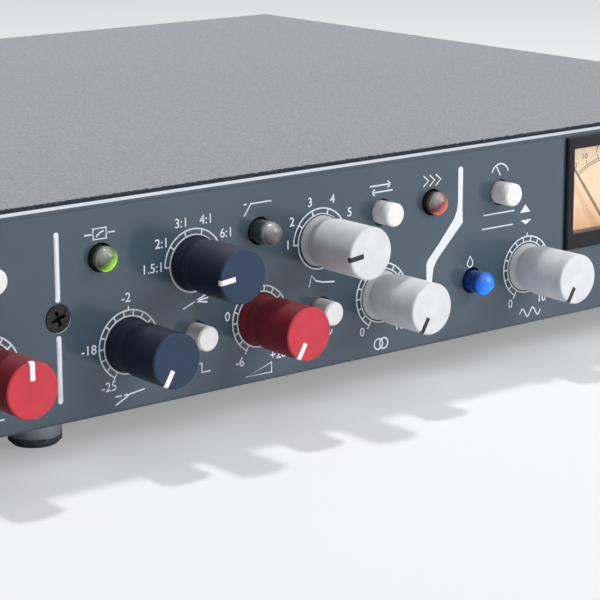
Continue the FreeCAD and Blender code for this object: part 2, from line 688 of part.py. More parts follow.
def make_meter_case():
    """Bezel, neck and body in one moulding, open behind the glass."""
    bezel = box(METER_LEFT, METER_LEFT + METER_WIDTH, FACE - METER_REACH, FACE,
                LIFT + METER_BOTTOM, LIFT + METER_BOTTOM + METER_HEIGHT)
    bezel = bezel.makeChamfer(0.35, [e for e in bezel.Edges
                                     if abs(e.CenterOfMass.y - (FACE - METER_REACH)) < 0.01])
    x0, x1, z0, z1 = meter_neck(0.0)
    neck = box(x0, x1, FACE, PANEL_BACK + FIT, z0, z1)
    body = box(x0, x1, PANEL_BACK + FIT, PANEL_BACK + METER_DEPTH,
               LIFT + METER_BODY_BOTTOM, LIFT + METER_BODY_TOP)
    case = bezel.fuse([neck, body])
    x0, x1, z0, z1 = meter_window(0.0)
    window = box(x0, x1, FACE - METER_REACH - 1, PANEL_BACK + METER_WALL + 1, z0, z1)
    x0, x1, z0, z1 = meter_window(GLASS_EDGE)
    rebate = box(x0, x1, glass_front(), PANEL_BACK + METER_WALL + 1, z0, z1)
    x0, x1, z0, z1 = meter_cavity()
    cavity = box(x0, x1, PANEL_BACK + METER_WALL, PANEL_BACK + METER_DEPTH - METER_WALL,
                 z0, z1)
    return case.cut([window, rebate, cavity])


def glass_front():
    return FACE - METER_REACH + GLASS_SET_BACK


def make_meter_glass():
    x0, x1, z0, z1 = meter_window(GLASS_EDGE - 0.05)
    return box(x0, x1, glass_front() + 0.02, glass_front() + GLASS_THICKNESS, z0, z1)


def make_meter_dial():
    """Printed scale plate, with its lower edge cut round the needle's hub."""
    x0, x1, z0, z1 = meter_cavity()
    front = FACE + DIAL_SET_BACK
    plate = box(x0 + 0.1, x1 - 0.1, front, front + DIAL_THICKNESS,
                LIFT + PIVOT_HEIGHT, z1 - 0.1)
    return plate.cut(rod_y(meter_centre(), LIFT + PIVOT_HEIGHT, HUB_RADIUS + 0.6,
                           front - 1, front + 2))


def movement_front():
    return FACE + DIAL_SET_BACK + DIAL_THICKNESS


def make_meter_movement():
    """Magnet block behind the dial, bored for the needle's pivot."""
    x, z = meter_centre(), LIFT + PIVOT_HEIGHT
    low = LIFT + METER_BODY_BOTTOM + METER_WALL
    front = movement_front()
    block = box(x - MOVEMENT_WIDTH / 2.0, x + MOVEMENT_WIDTH / 2.0, front,
                front + MOVEMENT_DEPTH, low, low + MOVEMENT_HEIGHT)
    bore = rod_y(x, z, PIVOT_RADIUS + PIVOT_PLAY, front - 1,
                 front + PIVOT_IN_MOVEMENT + PIVOT_PLAY)
    return block.cut(bore)


def make_meter_needle():
    """Tapered needle with its tail weight, hub and pivot."""
    x, z = meter_centre(), LIFT + PIVOT_HEIGHT
    y = FACE + NEEDLE_SET_BACK
    root, tip = NEEDLE_ROOT / 2.0, NEEDLE_TIP / 2.0
    blade = face_of([(x - root, y, z), (x + root, y, z), (x + tip, y, z + NEEDLE_LENGTH),
                     (x - tip, y, z + NEEDLE_LENGTH)]).extrude(Vector(0, NEEDLE_THICKNESS, 0))
    tail = box(x - 0.7, x + 0.7, y, y + NEEDLE_THICKNESS, z - NEEDLE_TAIL, z)
    hub = rod_y(x, z, HUB_RADIUS, y - 0.5, y + NEEDLE_THICKNESS + 0.5)
    pivot = rod_y(x, z, PIVOT_RADIUS, y, movement_front() + PIVOT_IN_MOVEMENT)
    needle = blade.fuse([tail, hub, pivot])
    return needle.rotate(Vector(x, y, z), Vector(0, 1, 0), NEEDLE_REST)


# ---------------------------------------------------------------- power switch
def rocker_axis():
    return Vector(POWER_X, FACE + ROCKER_PIVOT, LIFT + POWER_Z)


def make_power_frame():
    """Snap-in frame with a square well that the rocker tips in."""
    z = LIFT + POWER_Z
    flange = centred_box(POWER_X, z, POWER_WIDTH + 2 * POWER_FLANGE,
                         POWER_HEIGHT + 2 * POWER_FLANGE, FACE - POWER_FLANGE_THICKNESS, FACE)
    flange = flange.makeChamfer(0.5, [e for e in flange.Edges if abs(
        e.CenterOfMass.y - (FACE - POWER_FLANGE_THICKNESS)) < 0.01])
    body = centred_box(POWER_X, z, POWER_WIDTH, POWER_HEIGHT, FACE, FACE + POWER_DEPTH)
    well = centred_box(POWER_X, z, POWER_WIDTH - 2 * POWER_WALL, 2 * (ROCKER_SWEEP + ROCKER_PLAY),
                       FACE - 4, FACE + POWER_DEPTH - POWER_WALL)
    axis = rocker_axis()
    pins = Part.makeCylinder(ROCKER_PIN_RADIUS + SHAFT_PLAY, POWER_WIDTH - 0.8,
                             axis - Vector(POWER_WIDTH / 2.0 - 0.4, 0, 0), Vector(1, 0, 0))
    return flange.fuse(body).cut([well, pins])


def make_power_rocker():
    """Two-faced rocker on its pivot pins, tipped to its on position."""
    axis = rocker_axis()
    width = POWER_WIDTH - 2 * POWER_WALL - 2 * ROCKER_PLAY
    slope = math.tan(math.radians(ROCKER_ANGLE))
    ridge = FACE - ROCKER_RIDGE
    reach = ROCKER_SWEEP + 1
    x0 = POWER_X - width / 2.0
    outline = [(x0, ridge + reach * slope, axis.z - reach), (x0, ridge, axis.z),
               (x0, ridge + reach * slope, axis.z + reach), (x0, axis.y + 4, axis.z + reach),
               (x0, axis.y + 4, axis.z - reach)]
    block = face_of(outline).extrude(Vector(width, 0, 0))
    sweep = Part.makeCylinder(ROCKER_SWEEP, width, Vector(x0, axis.y, axis.z), Vector(1, 0, 0))
    length = POWER_WIDTH - 1.2
    pins = Part.makeCylinder(ROCKER_PIN_RADIUS, length, axis - Vector(length / 2.0, 0, 0),
                             Vector(1, 0, 0))
    rocker = block.common(sweep).fuse(pins)
    return rocker.rotate(axis, Vector(1, 0, 0), -ROCKER_ANGLE)


# ---------------------------------------------------------------- connectors
def make_instrument_jack():
    """Front socket: threaded bushing and body in one moulding."""
    z = LIFT + JACK_Z
    bushing = rod_y(JACK_X, z, JACK_BUSHING, FACE - JACK_REACH, PANEL_BACK + 1)
    body = centred_box(JACK_X, z, JACK_BODY, JACK_BODY, PANEL_BACK, FACE + JACK_DEPTH)
    bore = rod_y(JACK_X, z, JACK_BORE, FACE - JACK_REACH - 1,
                 FACE - JACK_REACH + JACK_BORE_DEPTH)
    return bushing.fuse(body).cut(bore)


def make_jack_nut():
    z = LIFT + JACK_Z
    bore = rod_y(JACK_X, z, JACK_BUSHING + THREAD_PLAY, FACE - JACK_NUT_HEIGHT - 1, FACE + 1)
    return hexagon_y(JACK_X, z, JACK_NUT_FLATS, FACE - JACK_NUT_HEIGHT, FACE).cut(bore)


def xlr_flange(x):
    z = LIFT + XLR_Z
    plate = centred_box(x, z, XLR_FLANGE_WIDTH, XLR_FLANGE_HEIGHT, REAR_FACE,
                        REAR_FACE + XLR_FLANGE_THICKNESS)
    corners = [e for e in plate.Edges if abs(e.Length - XLR_FLANGE_THICKNESS) < 0.01]
    return plate.makeFillet(3.0, corners)


def xlr_contacts(x):
    """x and z of the three contacts, the third below the middle."""
    return [(x + XLR_PIN_CIRCLE * math.sin(math.radians(a)),
             LIFT + XLR_Z + XLR_PIN_CIRCLE * math.cos(math.radians(a))) for a in (-65, 65, 180)]


def make_xlr_input():
    """Shell with an open cup, and the three-hole insert that stands in it."""
    z = LIFT + XLR_Z
    mouth = REAR_FACE + XLR_FLANGE_THICKNESS
    floor = mouth - XLR_CUP_DEPTH
    body = rod_y(XLR_INPUT_X, z, XLR_BODY_RADIUS, mouth - XLR_DEPTH, REAR_FACE + 1)
    cup = rod_y(XLR_INPUT_X, z, XLR_CUP_RADIUS, floor, mouth + 1)
    insert = rod_y(XLR_INPUT_X, z, XLR_INSERT_RADIUS, floor, mouth - 0.5)
    holes = [rod_y(x, zc, XLR_HOLE_RADIUS, mouth - XLR_PIN_LENGTH, mouth)
             for x, zc in xlr_contacts(XLR_INPUT_X)]
    return [xlr_flange(XLR_INPUT_X).fuse(body).cut(cup), insert.cut(holes)]


def make_xlr_output():
    """Three-pin plug in an open cup."""
    z = LIFT + XLR_Z
    mouth = REAR_FACE + XLR_FLANGE_THICKNESS
    body = rod_y(XLR_OUTPUT_X, z, XLR_BODY_RADIUS, mouth - XLR_DEPTH, REAR_FACE + 1)
    cup = rod_y(XLR_OUTPUT_X, z, XLR_CUP_RADIUS, mouth - XLR_CUP_DEPTH, mouth + 1)
    floor = mouth - XLR_CUP_DEPTH
    pins = [rod_y(x, zc, XLR_PIN_RADIUS, floor - 1, floor + XLR_PIN_LENGTH)
            for x, zc in xlr_contacts(XLR_OUTPUT_X)]
    return xlr_flange(XLR_OUTPUT_X).fuse(body).cut(cup).fuse(pins)


def make_mains_inlet():
    """Three-blade appliance inlet with its two lower corners cut off."""
    z = LIFT + INLET_Z
    mouth = REAR_FACE + INLET_FLANGE
    flange = centred_box(INLET_X, z, INLET_WIDTH, INLET_HEIGHT, REAR_FACE, mouth)
    body = centred_box(INLET_X, z, INLET_BODY_WIDTH, INLET_BODY_HEIGHT,
                       mouth - INLET_DEPTH, REAR_FACE + 1)
    half, up = INLET_CAVITY_WIDTH / 2.0, INLET_CAVITY_HEIGHT / 2.0
    floor = mouth - INLET_CAVITY_DEPTH
    outline = [(INLET_X - half, floor, z + up), (INLET_X + half, floor, z + up),
               (INLET_X + half, floor, z - up + INLET_CORNER),
               (INLET_X + half - INLET_CORNER, floor, z - up),
               (INLET_X - half + INLET_CORNER, floor, z - up),
               (INLET_X - half, floor, z - up + INLET_CORNER)]
    cavity = face_of(outline).extrude(Vector(0, INLET_CAVITY_DEPTH + 1, 0))
    width, length, height = INLET_BLADE
    blades = [centred_box(INLET_X + dx, z + dz, width, height, floor - 1, floor + length)
              for dx, dz in ((-7.0, -1.5), (0.0, 2.5), (7.0, -1.5))]
    return flange.fuse(body).cut(cavity).fuse(blades)


# ---------------------------------------------------------------- inside
def make_control_board():
    z0, z1 = LIFT + BOARD_BOTTOM, LIFT + BOARD_TOP
    level = (LEVEL_X - LEVEL_BOARD_WIDTH / 2.0, LEVEL_X + LEVEL_BOARD_WIDTH / 2.0)
    return [box(x0, x1, BOARD_FACE, BOARD_FACE + BOARD_THICKNESS, z0, z1)
            for x0, x1 in ((CONTROL_BOARD_LEFT, CONTROL_BOARD_RIGHT), level)]


def main_board_box():
    return (MAIN_BOARD_LEFT, MAIN_BOARD_RIGHT, PANEL_BACK + MAIN_BOARD_FRONT,
            REAR_FACE - MAIN_BOARD_REAR)


def main_board_top():
    return TRAY_FLOOR + MAIN_BOARD_LIFT + BOARD_THICKNESS


def make_main_board():
    x0, x1, y0, y1 = main_board_box()
    return box(x0, x1, y0, y1, main_board_top() - BOARD_THICKNESS, main_board_top())


def make_board_spacers():
    x0, x1, y0, y1 = main_board_box()
    xs = (x0 + SPACER_INSET, (x0 + x1) / 2.0, x1 - SPACER_INSET)
    return [hexagon_z(x, y, SPACER_FLATS, TRAY_FLOOR, TRAY_FLOOR + MAIN_BOARD_LIFT)
            for x in xs for y in (y0 + SPACER_INSET, y1 - SPACER_INSET)]


def make_audio_transformers():
    y = REAR_FACE - TRANSFORMER_FROM_REAR
    return [rod_z(x, y, TRANSFORMER_RADIUS, main_board_top(),
                  main_board_top() + TRANSFORMER_HEIGHT) for x in TRANSFORMER_X]


def make_capacitors():
    y = REAR_FACE - CAPACITOR_FROM_REAR
    return [rod_z(x, y, CAPACITOR_RADIUS, main_board_top(),
                  main_board_top() + CAPACITOR_HEIGHT) for x in CAPACITOR_X]


def toroid_y():
    return REAR_FACE - TOROID_FROM_REAR


def make_power_transformer():
    ring = rod_z(TOROID_X, toroid_y(), TOROID_RADIUS, TRAY_FLOOR, TRAY_FLOOR + TOROID_HEIGHT)
    return ring.cut(rod_z(TOROID_X, toroid_y(), TOROID_HOLE, TRAY_FLOOR - 1,
                          TRAY_FLOOR + TOROID_HEIGHT + 1))


def make_transformer_bolt():
    """Bolt, nut and dished washer that clamp the ring to the tray."""
    top = TRAY_FLOOR + TOROID_HEIGHT
    floor = LIFT + TRAY_LIFT
    washer = rod_z(TOROID_X, toroid_y(), TOROID_WASHER_RADIUS, top, top + TOROID_WASHER)
    shank = rod_z(TOROID_X, toroid_y(), TOROID_BOLT_RADIUS, floor + 0.05, top + 2.0)
    nut = hexagon_z(TOROID_X, toroid_y(), 10.0, top + TOROID_WASHER - 0.1, top + 5.0)
    return shank.fuse([washer, nut])


# ---------------------------------------------------------------- the unit
def placed(maker, rows):
    """One solid from the maker for each row's x and height on the panel."""
    return [maker(row[1], LIFT + row[2]) for row in rows]


def nut_covers(colour):
    return placed(make_nut_cover, [row for row in KNOBS if row[3] == colour])


def build_nodes():
    nodes = {
        "front_panel": [make_front_panel()],
        "panel_screws": make_panel_screws(),
        "panel_pillars": make_panel_pillars(),
        "chassis_tray": [make_chassis_tray()],
        "rear_panel": [make_rear_panel()],
        "top_cover": [make_top_cover()],
        "case_screws": make_case_screws(),
        "feet": make_feet(),
        "red_nut_covers": nut_covers("red"),
        "blue_nut_covers": nut_covers("blue"),
        "white_nut_covers": nut_covers("white"),
        "potentiometers": placed(make_potentiometer, KNOBS),
        "push_switches": placed(make_push_switch, BUTTONS),
        "control_board": make_control_board(),
        "main_board": [make_main_board()],
        "board_spacers": make_board_spacers(),
        "audio_transformers": make_audio_transformers(),
        "capacitors": make_capacitors(),
        "power_transformer": [make_power_transformer()],
        "transformer_bolt": [make_transformer_bolt()],
        "meter_case": [make_meter_case()],
        "meter_glass": [make_meter_glass()],
        "meter_dial": [make_meter_dial()],
        "meter_movement": [make_meter_movement()],
        "meter_needle": [make_meter_needle()],
        "power_frame": [make_power_frame()],
        "power_rocker": [make_power_rocker()],
        "instrument_jack": [make_instrument_jack()],
        "jack_nut": [make_jack_nut()],
        "xlr_input": make_xlr_input(),
        "xlr_output": [make_xlr_output()],
        "mains_inlet": [make_mains_inlet()],
    }
    for name, x, z, _, pointer in KNOBS:
        nodes[name] = make_knob(x, LIFT + z, pointer)
    makers = {"flat": make_flat_button, "dome": make_dome_button}
    for name, x, z, form, latched in BUTTONS:
        nodes[name] = [makers[form](x, LIFT + z, latched)]
    return nodes


def main():
    os.makedirs("parts", exist_ok=True)
    for name, solids in build_nodes().items():
        shape = solids[0] if len(solids) == 1 else Part.makeCompound(solids)
        if not shape.isValid():
            raise ValueError(name + " is not a valid shape")
        shape.exportStep(os.path.join("parts", name + ".step"))
        print(name, len(shape.Solids), "solids", round(shape.Volume, 1), "mm3")


main()
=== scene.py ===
import json
import math

import bmesh
import bpy
from mathutils import Matrix, Vector


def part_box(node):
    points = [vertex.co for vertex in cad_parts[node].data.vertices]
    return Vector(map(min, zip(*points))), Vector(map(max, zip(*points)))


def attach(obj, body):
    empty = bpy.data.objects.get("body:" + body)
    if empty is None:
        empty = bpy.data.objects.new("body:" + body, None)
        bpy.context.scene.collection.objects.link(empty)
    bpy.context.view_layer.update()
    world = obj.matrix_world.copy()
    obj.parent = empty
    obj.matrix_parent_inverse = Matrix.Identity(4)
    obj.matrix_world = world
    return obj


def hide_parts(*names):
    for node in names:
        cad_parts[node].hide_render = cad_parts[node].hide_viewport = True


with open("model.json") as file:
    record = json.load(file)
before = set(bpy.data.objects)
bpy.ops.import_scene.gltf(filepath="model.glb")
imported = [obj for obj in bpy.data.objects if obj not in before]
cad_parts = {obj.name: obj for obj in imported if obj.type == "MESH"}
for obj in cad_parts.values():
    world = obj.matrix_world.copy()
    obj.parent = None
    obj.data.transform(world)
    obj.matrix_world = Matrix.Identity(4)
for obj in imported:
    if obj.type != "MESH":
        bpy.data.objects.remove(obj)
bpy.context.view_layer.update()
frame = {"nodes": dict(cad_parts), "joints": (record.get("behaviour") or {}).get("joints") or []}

# Rack compressor: paint, printing, lamps and small trim round the packed
# model.  Everything is in metres in the model's own frame: X along the
# panel, Y back into the case, Z up.

MM = 0.001


# ------------ places
panel_low, panel_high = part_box("front_panel")
FACE = panel_low.y                  # painted face of the panel
PANEL_BACK = panel_high.y
EDGE = panel_low.z                  # its bottom edge
PANEL_TOP = panel_high.z
PANEL_BEVEL = 0.4 * MM
NEAR = 0.02 * MM                    # what still counts as on a face
AXIS = {j["child"]: Vector(j["pos_m"]) for j in frame["joints"] if j["type"] == "hinge"}


def middle(node):
    low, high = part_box(node)
    return (low + high) / 2


def standing(y, x=0.0, z=0.0):
    """Stands flat artwork up at that y, facing forwards, with its origin at x and z."""
    return Matrix(((1, 0, 0, x), (0, 0, -1, y), (0, 1, 0, z), (0, 0, 0, 1)))


def placed(name, data):
    """A new object in the scene."""
    made = bpy.data.objects.new(name, data)
    bpy.context.scene.collection.objects.link(made)
    return made


# colour, pointer's resting angle clockwise from the top, scale printed round it
KNOBS = {
    "input_gain_knob": ("red", -150, "gain"),
    "input_trim_knob": ("white", 0, "level"),
    "highpass_knob": ("blue", -150, "hertz"),
    "low_gain_knob": ("white", 0, "tone"),
    "mid_gain_knob": ("white", 0, "tone"),
    "mid_frequency_knob": ("blue", 0, "kilohertz"),
    "high_gain_knob": ("red", 0, "tone"),
    "threshold_knob": ("blue", -150, "threshold"),
    "ratio_knob": ("blue", -96, "ratio"),
    "makeup_gain_knob": ("red", -150, "makeup"),
    "timing_knob": ("white", -97, "timing"),
    "blend_knob": ("white", -150, "percent"),
    "texture_knob": ("white", -150, "amount"),
    "output_level_knob": ("white", 0, "level"),
}
# lens over the lamp in each dome button
DOMES = {
    "phantom_button": "clear_grey",
    "highpass_button": "clear_grey",
    "equaliser_button": "clear_green",
    "compressor_button": "clear_green",
    "sidechain_filter_button": "clear_grey",
    "fast_button": "clear_red",
    "colour_button": "clear_blue",
}
FLATS = ("polarity_button", "high_shelf_button", "insert_button", "detector_button",
         "order_button", "meter_button")


# ------------ node trees
class Value:
    """An output in a node tree; a sum on it adds its Math node to that tree."""

    def __init__(self, net, socket):
        self.net, self.socket = net, socket

    def work(self, operation, *others):
        return self.net.node("ShaderNodeMath", {"operation": operation},
                             dict(enumerate(others)))

    def __add__(self, other):
        return self.work("ADD", self, other)

    def __sub__(self, other):
        return self.work("SUBTRACT", self, other)

    def __mul__(self, other):
        return self.work("MULTIPLY", self, other)

    def __truediv__(self, other):
        return self.work("DIVIDE", self, other)

    def __rsub__(self, other):
        return self.work("SUBTRACT", other, self)

    def __rtruediv__(self, other):
        return self.work("DIVIDE", other, self)

    def __pow__(self, other):
        return self.work("POWER", self, other)

    def __gt__(self, other):
        return self.work("GREATER_THAN", self, other)

    def __lt__(self, other):
        return self.work("LESS_THAN", self, other)

    def __abs__(self):
        return self.work("ABSOLUTE", self)

    __radd__, __rmul__ = __add__, __mul__

    def least(self, other):
        return self.work("MINIMUM", self, other)

    def most(self, other):
        return self.work("MAXIMUM", self, other)

    def wave(self):
        return self.work("SINE", self)

    def cosine(self):
        return self.work("COSINE", self)

    def held(self):
        return self.least(1.0).most(0.0)

    def rise(self, start, end):
        """0 at start, 1 at end, held level outside."""
        return ((self - start) / (end - start)).held()


class Net:
    """A node tree being written."""

    def __init__(self, tree):
        self.tree = tree

    def node(self, kind, settings=None, inputs=None, output=0):
        made = self.tree.nodes.new(kind)
        for name, setting in (settings or {}).items():
            if name == "stops":
                stops = made.color_ramp.elements
                while len(stops) < len(setting):
                    stops.new(1.0)
                for stop, (place, colour) in zip(stops, setting):
                    stop.position, stop.color = place, (*colour, 1)
            else:
                setattr(made, name, setting)
        for name, given in (inputs or {}).items():
            if isinstance(given, Value):
                self.tree.links.new(given.socket, made.inputs[name])
            else:
                made.inputs[name].default_value = given
        return Value(self, made.outputs[output])

    def vector(self, operation, first, second):
        return self.node("ShaderNodeVectorMath", {"operation": operation},
                         {0: first, 1: second})

    def ends(self, kind, result):
        """The tree's output node, with the result linked to it."""
        self.tree.links.new(result.socket, self.tree.nodes.new(kind).inputs[0])

    def apart(self, vector):
        """The three parts of a vector."""
        first = self.node("ShaderNodeSeparateXYZ", inputs={0: vector})
        return [Value(self, first.socket.node.outputs[i]) for i in range(3)]

    def together(self, x, y, z):
        return self.node("ShaderNodeCombineXYZ", inputs={0: x, 1: y, 2: z})


class Finish(Net):
    """A material on Object coordinates."""

    def __init__(self, name):
        self.material = bpy.data.materials.new(name)
        self.material.use_nodes = True
        super().__init__(self.material.node_tree)
        self.tree.nodes.clear()
        self.place = self.node("ShaderNodeTexCoord", output="Object")
        self.x, self.y, self.z = self.apart(self.place)

    def grain(self, size, detail=2.0, stretch=None):
        """Noise with features about so many metres across."""
        place = self.place if stretch is None else self.vector("MULTIPLY", self.place, stretch)
        return self.node("ShaderNodeTexNoise", None,
                         {"Vector": place, "Scale": 1 / size, "Detail": detail})

    def mix(self, factor, first, second):
        first, second = [c if isinstance(c, Value) else (*c, 1) for c in (first, second)]
        return self.node("ShaderNodeMix", {"data_type": "RGBA"},
                         {0: factor, 6: first, 7: second}, 2)

    def ramp(self, factor, *stops):
        return self.node("ShaderNodeValToRGB", {"stops": stops}, {0: factor})

    def bump(self, height, depth, strength=1.0):
        return self.node("ShaderNodeBump", None,
                         {"Height": height, "Distance": depth, "Strength": strength})

    def off_axis(self, x, z):
        """Distance from a line along Y through x and z."""
        return ((self.x - x) ** 2.0 + (self.z - z) ** 2.0) ** 0.5

    def done(self, shader):
        self.ends("ShaderNodeOutputMaterial", shader)
        return self.material

    def skin(self, **values):
        """A Principled shader from its sockets' values, with spaces written as _."""
        return self.node("ShaderNodeBsdfPrincipled", None,
                         {name.replace("_", " "): given for name, given in values.items()})

    def surface(self, **values):
        return self.done(self.skin(**values))

    def either(self, factor, first, second):
        return self.done(self.node("ShaderNodeMixShader", None,
                                   {0: factor, 1: first, 2: second}))


def tint(red, green, blue):
    """Linear colour from a screen colour of 0 to 255."""
    return tuple((c / 255 / 12.92) if c / 255 <= 0.04045 else ((c / 255 + 0.055) / 1.055) ** 2.4
                 for c in (red, green, blue))


# ------------ finishes
PANEL_PAINT = tint(76, 93, 105)
PANEL_SHADE = tint(68, 85, 97)
SCREW_HEAD = 2.75 * MM              # radius of a panel screw's head
SCREW_SINK = 2.98 * MM              # radius of the bare countersink round it
SCREW_X = (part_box("panel_screws")[0].x + SCREW_HEAD, -99.9 * MM, -16.4 * MM,
           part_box("panel_screws")[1].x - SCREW_HEAD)
SCREW_Z = middle("panel_screws").z


def panel_finish():
    """Satin blue-grey paint on aluminium, bare on its cut edges and countersinks."""
    f = Finish("panel_paint")
    top = f.z > PANEL_TOP - NEAR
    bottom = f.z < EDGE + NEAR
    ends = abs(f.x) > panel_high.x - NEAR
    back = f.y > PANEL_BACK - NEAR
    bare = top.most(bottom).most(ends).most(back) * (f.y > FACE + PANEL_BEVEL * 0.98)
    sunk = f.off_axis(SCREW_X[0], SCREW_Z) < SCREW_SINK
    for x in SCREW_X[1:]:
        sunk = sunk.most(f.off_axis(x, SCREW_Z) < SCREW_SINK)
    bare = bare.most(sunk * (f.y > FACE + NEAR))
    cloud = f.grain(35 * MM, 3.0)
    paint = f.mix(cloud.rise(0.3, 0.7), PANEL_SHADE, PANEL_PAINT)
    speck = f.grain(0.35 * MM, 1.0).rise(0.74, 0.8) * f.grain(4 * MM, 1.0).rise(0.5, 0.62)
    paint = f.mix(speck * 0.25, paint, tint(150, 162, 170))
    # Painted reflection: the paint is darkened along the bevelled top and bottom edges, where the
    # bevels mirror darker surroundings.
    bevel_shade = (f.z > PANEL_TOP - PANEL_BEVEL * 2.2).most(f.z < EDGE + PANEL_BEVEL * 1.5)
    paint = f.mix(bevel_shade * 0.4, paint, tint(42, 56, 68))
    brushed = f.grain(0.12 * MM, 3.0, stretch=(0.02, 1.0, 1.0))
    metal = f.mix(brushed.rise(0.3, 0.7), tint(176, 180, 190), tint(200, 204, 213))
    peel = f.grain(1.3 * MM, 2.0) + f.grain(0.16 * MM, 2.0) * 0.25
    return f.surface(Base_Color=f.mix(bare, paint, metal), Metallic=bare,
                     Roughness=0.14 + bare * 0.26 + cloud * 0.05,
                     Normal=f.bump(peel, 0.008 * MM))


COVER_BEND = 1.6 * MM               # height of the front bend's dull band
COVER_EDGE = 2.7 * MM               # and its depth behind the panel
COVER_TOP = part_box("top_cover")[1].z


def cover_finish():
    """Dark powder coat with a hard grain, dull and ragged along its front bend."""
    f = Finish("powder_coat")
    grain, pits = f.grain(0.45 * MM, 3.0), f.grain(0.9 * MM, 2.0)
    speck = f.grain(0.3 * MM, 1.0).rise(0.36, 0.64)
    ragged = f.y + (f.grain(0.7 * MM, 3.0) - 0.5) * (2.4 * MM)
    edge = (ragged < PANEL_BACK + COVER_EDGE) * (f.z > COVER_TOP - COVER_BEND)
    coat = f.skin(Base_Color=f.mix(speck, tint(24, 31, 41), tint(70, 81, 96)),
                  Roughness=0.38 + grain * 0.26, Coat_Weight=0.68 + speck * 0.32,
                  Coat_Roughness=0.35, Normal=f.bump(grain + pits * 0.6, 0.24 * MM))
    dull = f.skin(Base_Color=f.mix(speck, tint(30, 37, 44), tint(62, 72, 82)),
                  Roughness=0.95, Specular_IOR_Level=0.05, Normal=f.bump(grain, 0.3 * MM))
    return f.either(edge, coat, dull)


def tray_finish():
    f = Finish("tray_coat")
    grain = f.grain(0.6 * MM, 2.0)
    return f.surface(Base_Color=f.mix(grain, tint(38, 40, 44), tint(54, 56, 60)),
                     Roughness=0.45 + grain * 0.15, Normal=f.bump(grain, 0.05 * MM))


def black_screw_finish():
    f = Finish("black_screws")
    rub = f.grain(0.5 * MM, 3.0)
    return f.surface(Base_Color=f.mix(rub.rise(0.45, 0.75), tint(30, 28, 30), tint(74, 70, 70)),
                     Roughness=0.34 + rub * 0.2, Metallic=0.6,
                     Normal=f.bump(rub, 0.02 * MM))


def steel_finish(name="zinc_plate", dark=(150, 153, 158), pale=(196, 198, 202)):
    f = Finish(name)
    bloom = f.grain(3 * MM, 3.0)
    brushed = f.grain(0.2 * MM, 2.0, stretch=(0.05, 1.0, 1.0))
    return f.surface(Base_Color=f.mix(bloom.rise(0.35, 0.65), tint(*dark), tint(*pale)),
                     Metallic=1.0, Roughness=0.28 + bloom * 0.18,
                     Normal=f.bump(brushed, 0.01 * MM))


FOOT_HEIGHT = 8.5 * MM
TREAD = 2.0 * MM                    # height of a foot's dark tread


def foot_finish():
    """Smoky soft plastic over a dark speckled tread; the plastic is painted paler towards its top,
    painted light.
    """
    f = Finish("soft_foot")
    cloud, speck = f.grain(2.5 * MM, 2.0), f.grain(0.35 * MM, 2.0).rise(0.5, 0.7)
    # Painted light: the plastic's colour runs from grey at the tread to near white at the top.
    body = f.ramp((f.z / FOOT_HEIGHT + (cloud - 0.5) * 0.12).held(),
                  (0.0, tint(84, 92, 102)), (0.5, tint(176, 182, 192)),
                  (1.0, tint(222, 226, 232)))
    tread = (f.z + (cloud - 0.5) * (0.8 * MM)) < TREAD
    dark = f.mix(speck, tint(44, 52, 62), tint(104, 114, 126))
    return f.surface(Base_Color=f.mix(tread, body, dark), Roughness=0.3 + tread * 0.3,
                     Coat_Weight=0.3 - tread * 0.3, Normal=f.bump(cloud + speck * 0.4, 0.06 * MM))


KNOB_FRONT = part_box("ratio_knob")[0].y      # where every knob's cap is
KNOB_ROUGH = 0.46


def moulded_finish(name, cap, side):
    """Moulded knob plastic; the cap face keeps the full colour and the sides take a darker copy of
    it, painted shade.
    """
    f = Finish(name)
    on_cap = f.y < KNOB_FRONT + 0.28 * MM
    grain = f.grain(0.22 * MM, 3.0)
    wear = f.grain(3.5 * MM, 3.0)
    fleck = f.grain(0.3 * MM, 1.0).rise(0.66, 0.76)
    shade = f.mix(wear.rise(0.35, 0.7) * (1 - fleck * 0.5), tuple(c * 0.9 for c in cap), cap)
    # Painted shade: the sides take a darker copy of the cap colour.
    body = f.mix(wear.rise(0.35, 0.7), tuple(c * 0.9 for c in side), side)
    # Painted shade: a darker ring round the cap's bevelled edge.
    rim_shade = (f.y > KNOB_FRONT + 0.1 * MM) * (f.y < KNOB_FRONT + 0.42 * MM)
    colour = f.mix(rim_shade * 0.35, f.mix(on_cap, body, shade), tuple(c * 0.6 for c in cap))
    return f.surface(Base_Color=colour, Roughness=KNOB_ROUGH - on_cap * 0.1 + grain * 0.12,
                     Specular_IOR_Level=0.35,
                     Normal=f.bump(grain + f.grain(0.9 * MM, 2.0) * 0.5, 0.01 * MM))


def ivory_finish():
    f = Finish("ivory_buttons")
    wear = f.grain(1.2 * MM, 3.0)
    colour = f.mix(wear.rise(0.3, 0.7), tint(250, 246, 240), tint(254, 252, 249))
    return f.surface(Base_Color=colour, Roughness=0.33 + wear * 0.12, Subsurface_Weight=0.35,
                     Subsurface_Radius=(1.0, 0.8, 0.6), Subsurface_Scale=1.6 * MM,
                     Normal=f.bump(f.grain(0.3 * MM, 2.0), 0.006 * MM))


DOME_RADIUS = 2.4 * MM


